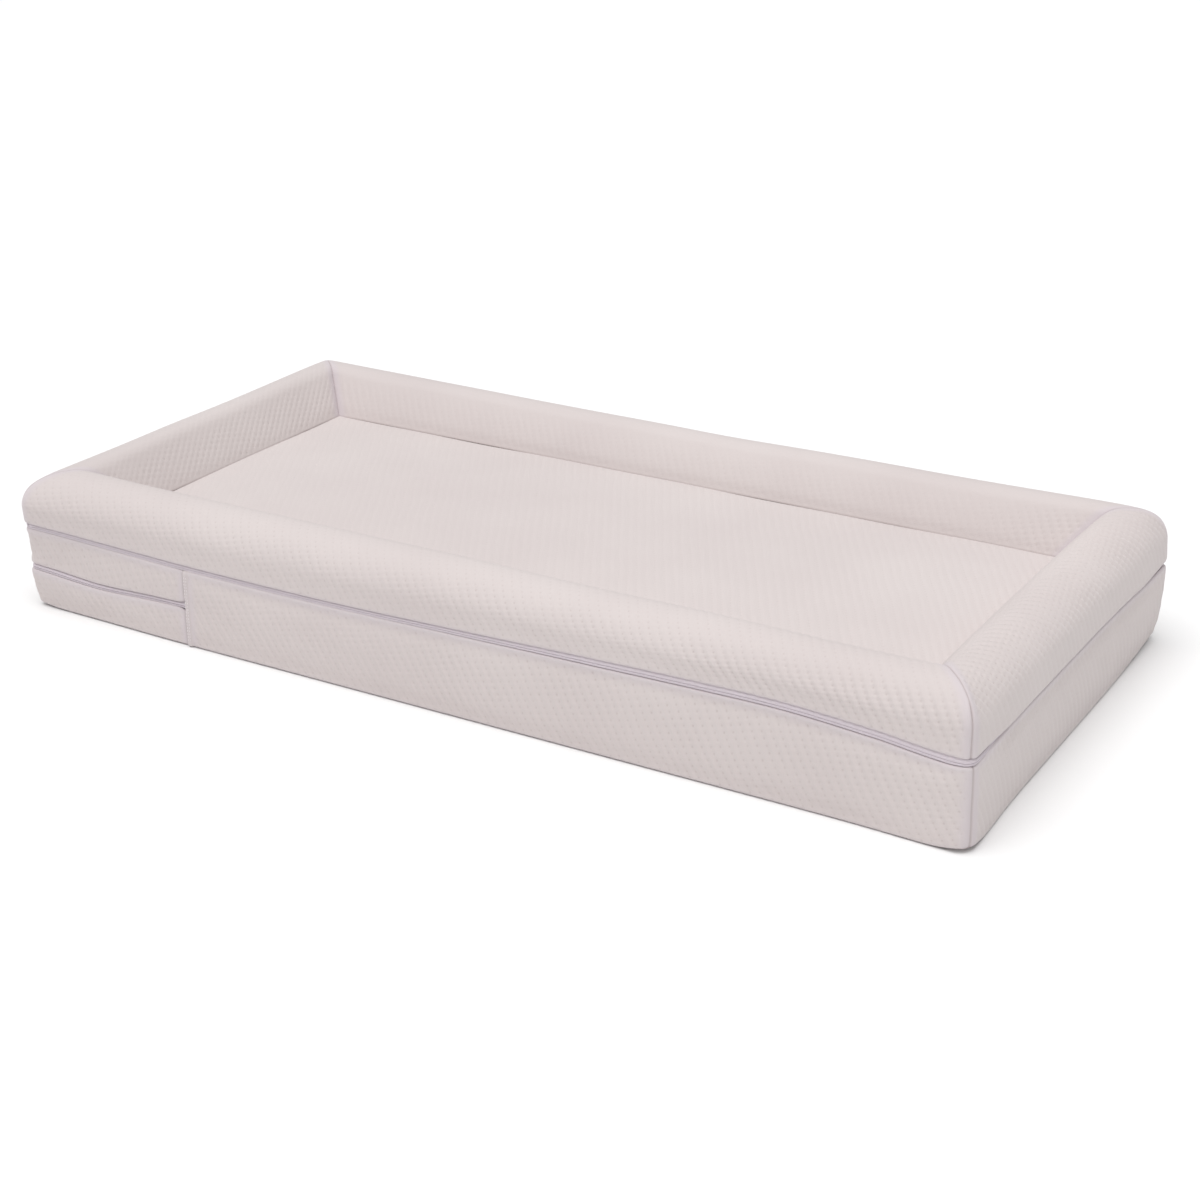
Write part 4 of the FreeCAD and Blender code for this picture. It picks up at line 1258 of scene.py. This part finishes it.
def zips():
    """The zip all round and the short zip round the left end."""
    whole = (0.0, PERIMETER)
    for level, body, above in (("lower", "base", False), ("upper", "tray", True)):
        tape(f"main_tape_{level}", body, f"main_zip_{level}_tape", ZIP, MAIN_FACE, above, *whole, True)
    coil("main_coil_lower", "base", "main_zip_lower_coil", ZIP, MAIN_FACE, False, *whole, True)
    slider = (low("main_zip_slider")[0] + high("main_zip_slider")[0]) / 2
    parked = HALF_WAY - slider
    gap = high("main_zip_slider")[0] - slider + 3.0
    stretch = (parked + gap, parked - gap + PERIMETER)
    coil("main_coil_upper", "tray", "main_zip_upper_coil", ZIP, MAIN_FACE, True, *stretch, False)
    for level, above in (("lower", False), ("upper", True)):
        end_zip = (END_ZIP, END_FACE, above, *END_STRETCH, False)
        tape(f"end_tape_{level}", "base", f"end_zip_{level}_tape", *end_zip)
        coil(f"end_coil_{level}", "base", f"end_zip_{level}_coil", *end_zip)


zips()
seam_strip("strip_front", "seam_strip_front", STRIP_LEFT + 0.3, STRIP_RIGHT + 1.6, True)
seam_strip("strip_back", "seam_strip_back", BACK_STRIP_FROM - 1.6, BACK_STRIP_TO - 0.3, False)


# ---------------------------------------------------------------- inside: foam and linings


def closer_at_ends(half, count):
    """Places from -half to half, closer together towards both ends."""
    places = np.sin(np.linspace(-1, 1, count) * math.pi / 2 * 0.96)
    return places / places[-1] * half


def slab(name, body, node, half_x, half_y, bottom, top, crown, rounding, material, padded):
    """A soft slab with rounded edges and a slight crown."""
    count_x = steps_for(2 * half_x, SLAB_SPACING)
    count_y = steps_for(2 * half_y, SLAB_SPACING)
    grid_x, grid_y = np.meshgrid(closer_at_ends(half_x, count_x), closer_at_ends(half_y, count_y))
    to_edge = np.minimum(half_x - np.abs(grid_x), half_y - np.abs(grid_y))
    past = 1 - np.clip(to_edge / rounding, 0, 1)
    dip = rounding * (1 - np.sqrt(1 - past ** 2))
    crowned = crown * smooth(to_edge, 0, 90)
    upper = np.stack([grid_x, grid_y, top - crown - dip + crowned], -1)
    lower = np.stack([grid_x, grid_y, bottom + dip], -1)
    vertices = np.concatenate([upper.reshape(-1, 3), lower.reshape(-1, 3)])
    vertices[:, 2] += zip_rise(*vertices.T)
    count = count_x * count_y
    faces = grid_faces(count_y, count_x) + [face[::-1] for face in grid_faces(count_y, count_x, count)]
    edge = boundary(count_y, count_x)
    for here, there in zip(edge, edge[1:] + edge[:1]):
        faces.append([here, here + count, there + count, there])
    uv = np.tile(np.stack([grid_x, grid_y], -1).reshape(-1, 2), (2, 1))
    piece = mesh_object(name, vertices, faces, uv, sharp=80)
    return finish_piece(piece, body, node, material)


def rail_foam(side):
    """A foam rail under its cover, with the same crest, mitred at both ends."""
    along, _, half, _ = SIDES[side]
    inset = COVER + 2.2
    profile = rail_profile()
    crest = resample(profile[profile[:, 1] >= FLOOR - 3], 21)
    centre = np.array([RAIL_FOOT / 2, FLOOR])
    inward_by = centre - crest
    crest = crest + inset * inward_by / np.linalg.norm(inward_by, axis=1, keepdims=True)
    bottom = low(f"rim_foam_{side}")[2] + 0.2
    sole = np.array([[crest[-1, 0], bottom], [crest[0, 0], bottom]])
    section = np.concatenate([crest, sole])
    columns = steps_for(2 * half, 10)
    grid, _, _, _ = mitred_grid(side, section, columns)
    x, y, z = np.moveaxis(grid, -1, 0)
    grid[..., 2] = z + crest_sag(x, y, z) + zip_rise(x, y, z)
    trim = 0.4 * np.array([*along])
    grid[..., :2] -= np.linspace(-1, 1, columns)[None, :, None] * trim
    corners, stations = grid.shape[:2]
    vertices = np.swapaxes(grid, 0, 1).reshape(-1, 3)
    faces = [face[::-1] for face in tube_faces(stations, corners)]
    piece = mesh_object(f"foam_rail_{side}", vertices, faces, sharp=50)
    return finish_piece(piece, "tray", f"rim_foam_{side}", FOAM)


def inside():
    """The foam slabs of the tray and the base, and their linings."""
    x, y, top = high("tray_lining")
    foam = {"material": FOAM, "padded": True}
    lining = {"material": LINING, "padded": False, "crown": 0.0}
    slab("foam_tray", "tray", "tray_foam", x - 1, y - 1, low("tray_foam")[2] + 0.1,
         high("tray_foam")[2] - 2.4, crown=0.5, rounding=3.0, **foam)
    slab("lining_tray", "tray", "tray_lining", x, y, low("tray_lining")[2], top, rounding=0.5, **lining)
    slab("foam_base", "base", "base_foam", LENGTH / 2 - 12, WIDTH / 2 - 12, COVER + 0.8,
         high("base_foam")[2] - 0.4, crown=1.0, rounding=9.0, **foam)
    x, y, top = high("base_top_panel")
    slab("lining_base", "base", "base_top_panel", x, y, top - 1.6, top, rounding=0.7, **lining)


for side in SIDES:
    rail_foam(side)
inside()

for node in ("main_zip_slider", "main_zip_pull", "end_zip_slider", "end_zip_pull"):
    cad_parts[node].material_slots[0].material = ENAMEL


# ---------------------------------------------------------------- camera, floor and light


# Places here are in metres.
CAMERA_AT = (0.832, -1.393, 0.707)
CAMERA_TILT = 67.0     # degrees up from straight down
CAMERA_TURN = 30.43    # degrees to the left of straight towards the back
CAMERA_LENS = 66.2     # millimetres, on a 36 mm wide sensor
SKY = 0.50             # strength of the even light from all round
SUN = 1.98
SUN_FROM = (-0.05, -0.28, 1.0)
SUN_ANGLE = 60.0
PANEL = 1.3            # watts of the lamp over the right half
PANEL_SIZE = 1.2
PANEL_AT = (0.35, -0.25, 1.3)
PANEL_TO = (0.2, 0.0, 0.0)
STUDIO_REACH = 30.0


def towards(direction):
    """The turn of a lamp that shines from a direction."""
    return Vector(direction).to_track_quat("Z", "Y").to_euler()


def studio():
    """A white floor, a soft sun from above the front, a large lamp over the right half, and a camera
    that looks down over the front right corner."""
    scene = bpy.context.scene
    scene.view_settings.view_transform = "Standard"
    camera_data = bpy.data.cameras.new("camera")
    camera_data.sensor_width = 36.0
    camera_data.lens = CAMERA_LENS
    camera = add_object("camera", camera_data)
    camera.location = CAMERA_AT
    camera.rotation_euler = (math.radians(CAMERA_TILT), 0, math.radians(CAMERA_TURN))
    scene.camera = camera
    world = bpy.data.worlds.new("world")
    world.use_nodes = True
    world.node_tree.nodes["Background"].inputs["Color"].default_value = (1.0, 1.0, 1.0, 1)
    world.node_tree.nodes["Background"].inputs["Strength"].default_value = SKY
    scene.world = world
    data = bpy.data.lights.new("soft_sun", "SUN")
    data.energy = SUN
    data.angle = math.radians(SUN_ANGLE)
    add_object("soft_sun", data).rotation_euler = towards(SUN_FROM)
    panel = bpy.data.lights.new("soft_panel", "AREA")
    panel.energy = PANEL
    panel.size = PANEL_SIZE
    lamp = add_object("soft_panel", panel)
    lamp.location = PANEL_AT
    lamp.rotation_euler = towards(Vector(PANEL_AT) - Vector(PANEL_TO))
    floor_mesh = bpy.data.meshes.new("studio_floor")
    reach = STUDIO_REACH
    corners = [(-reach, -reach, 0), (reach, -reach, 0), (reach, reach, 0), (-reach, reach, 0)]
    floor_mesh.from_pydata(corners, [], [(0, 1, 2, 3)])
    floor = add_object("studio_floor", floor_mesh)
    material, shader = new_material("studio_white", roughness=0.9, specular=0.1)
    shader.inputs["Base Color"].default_value = (0.93, 0.93, 0.93, 1)
    floor_mesh.materials.append(material)


studio()
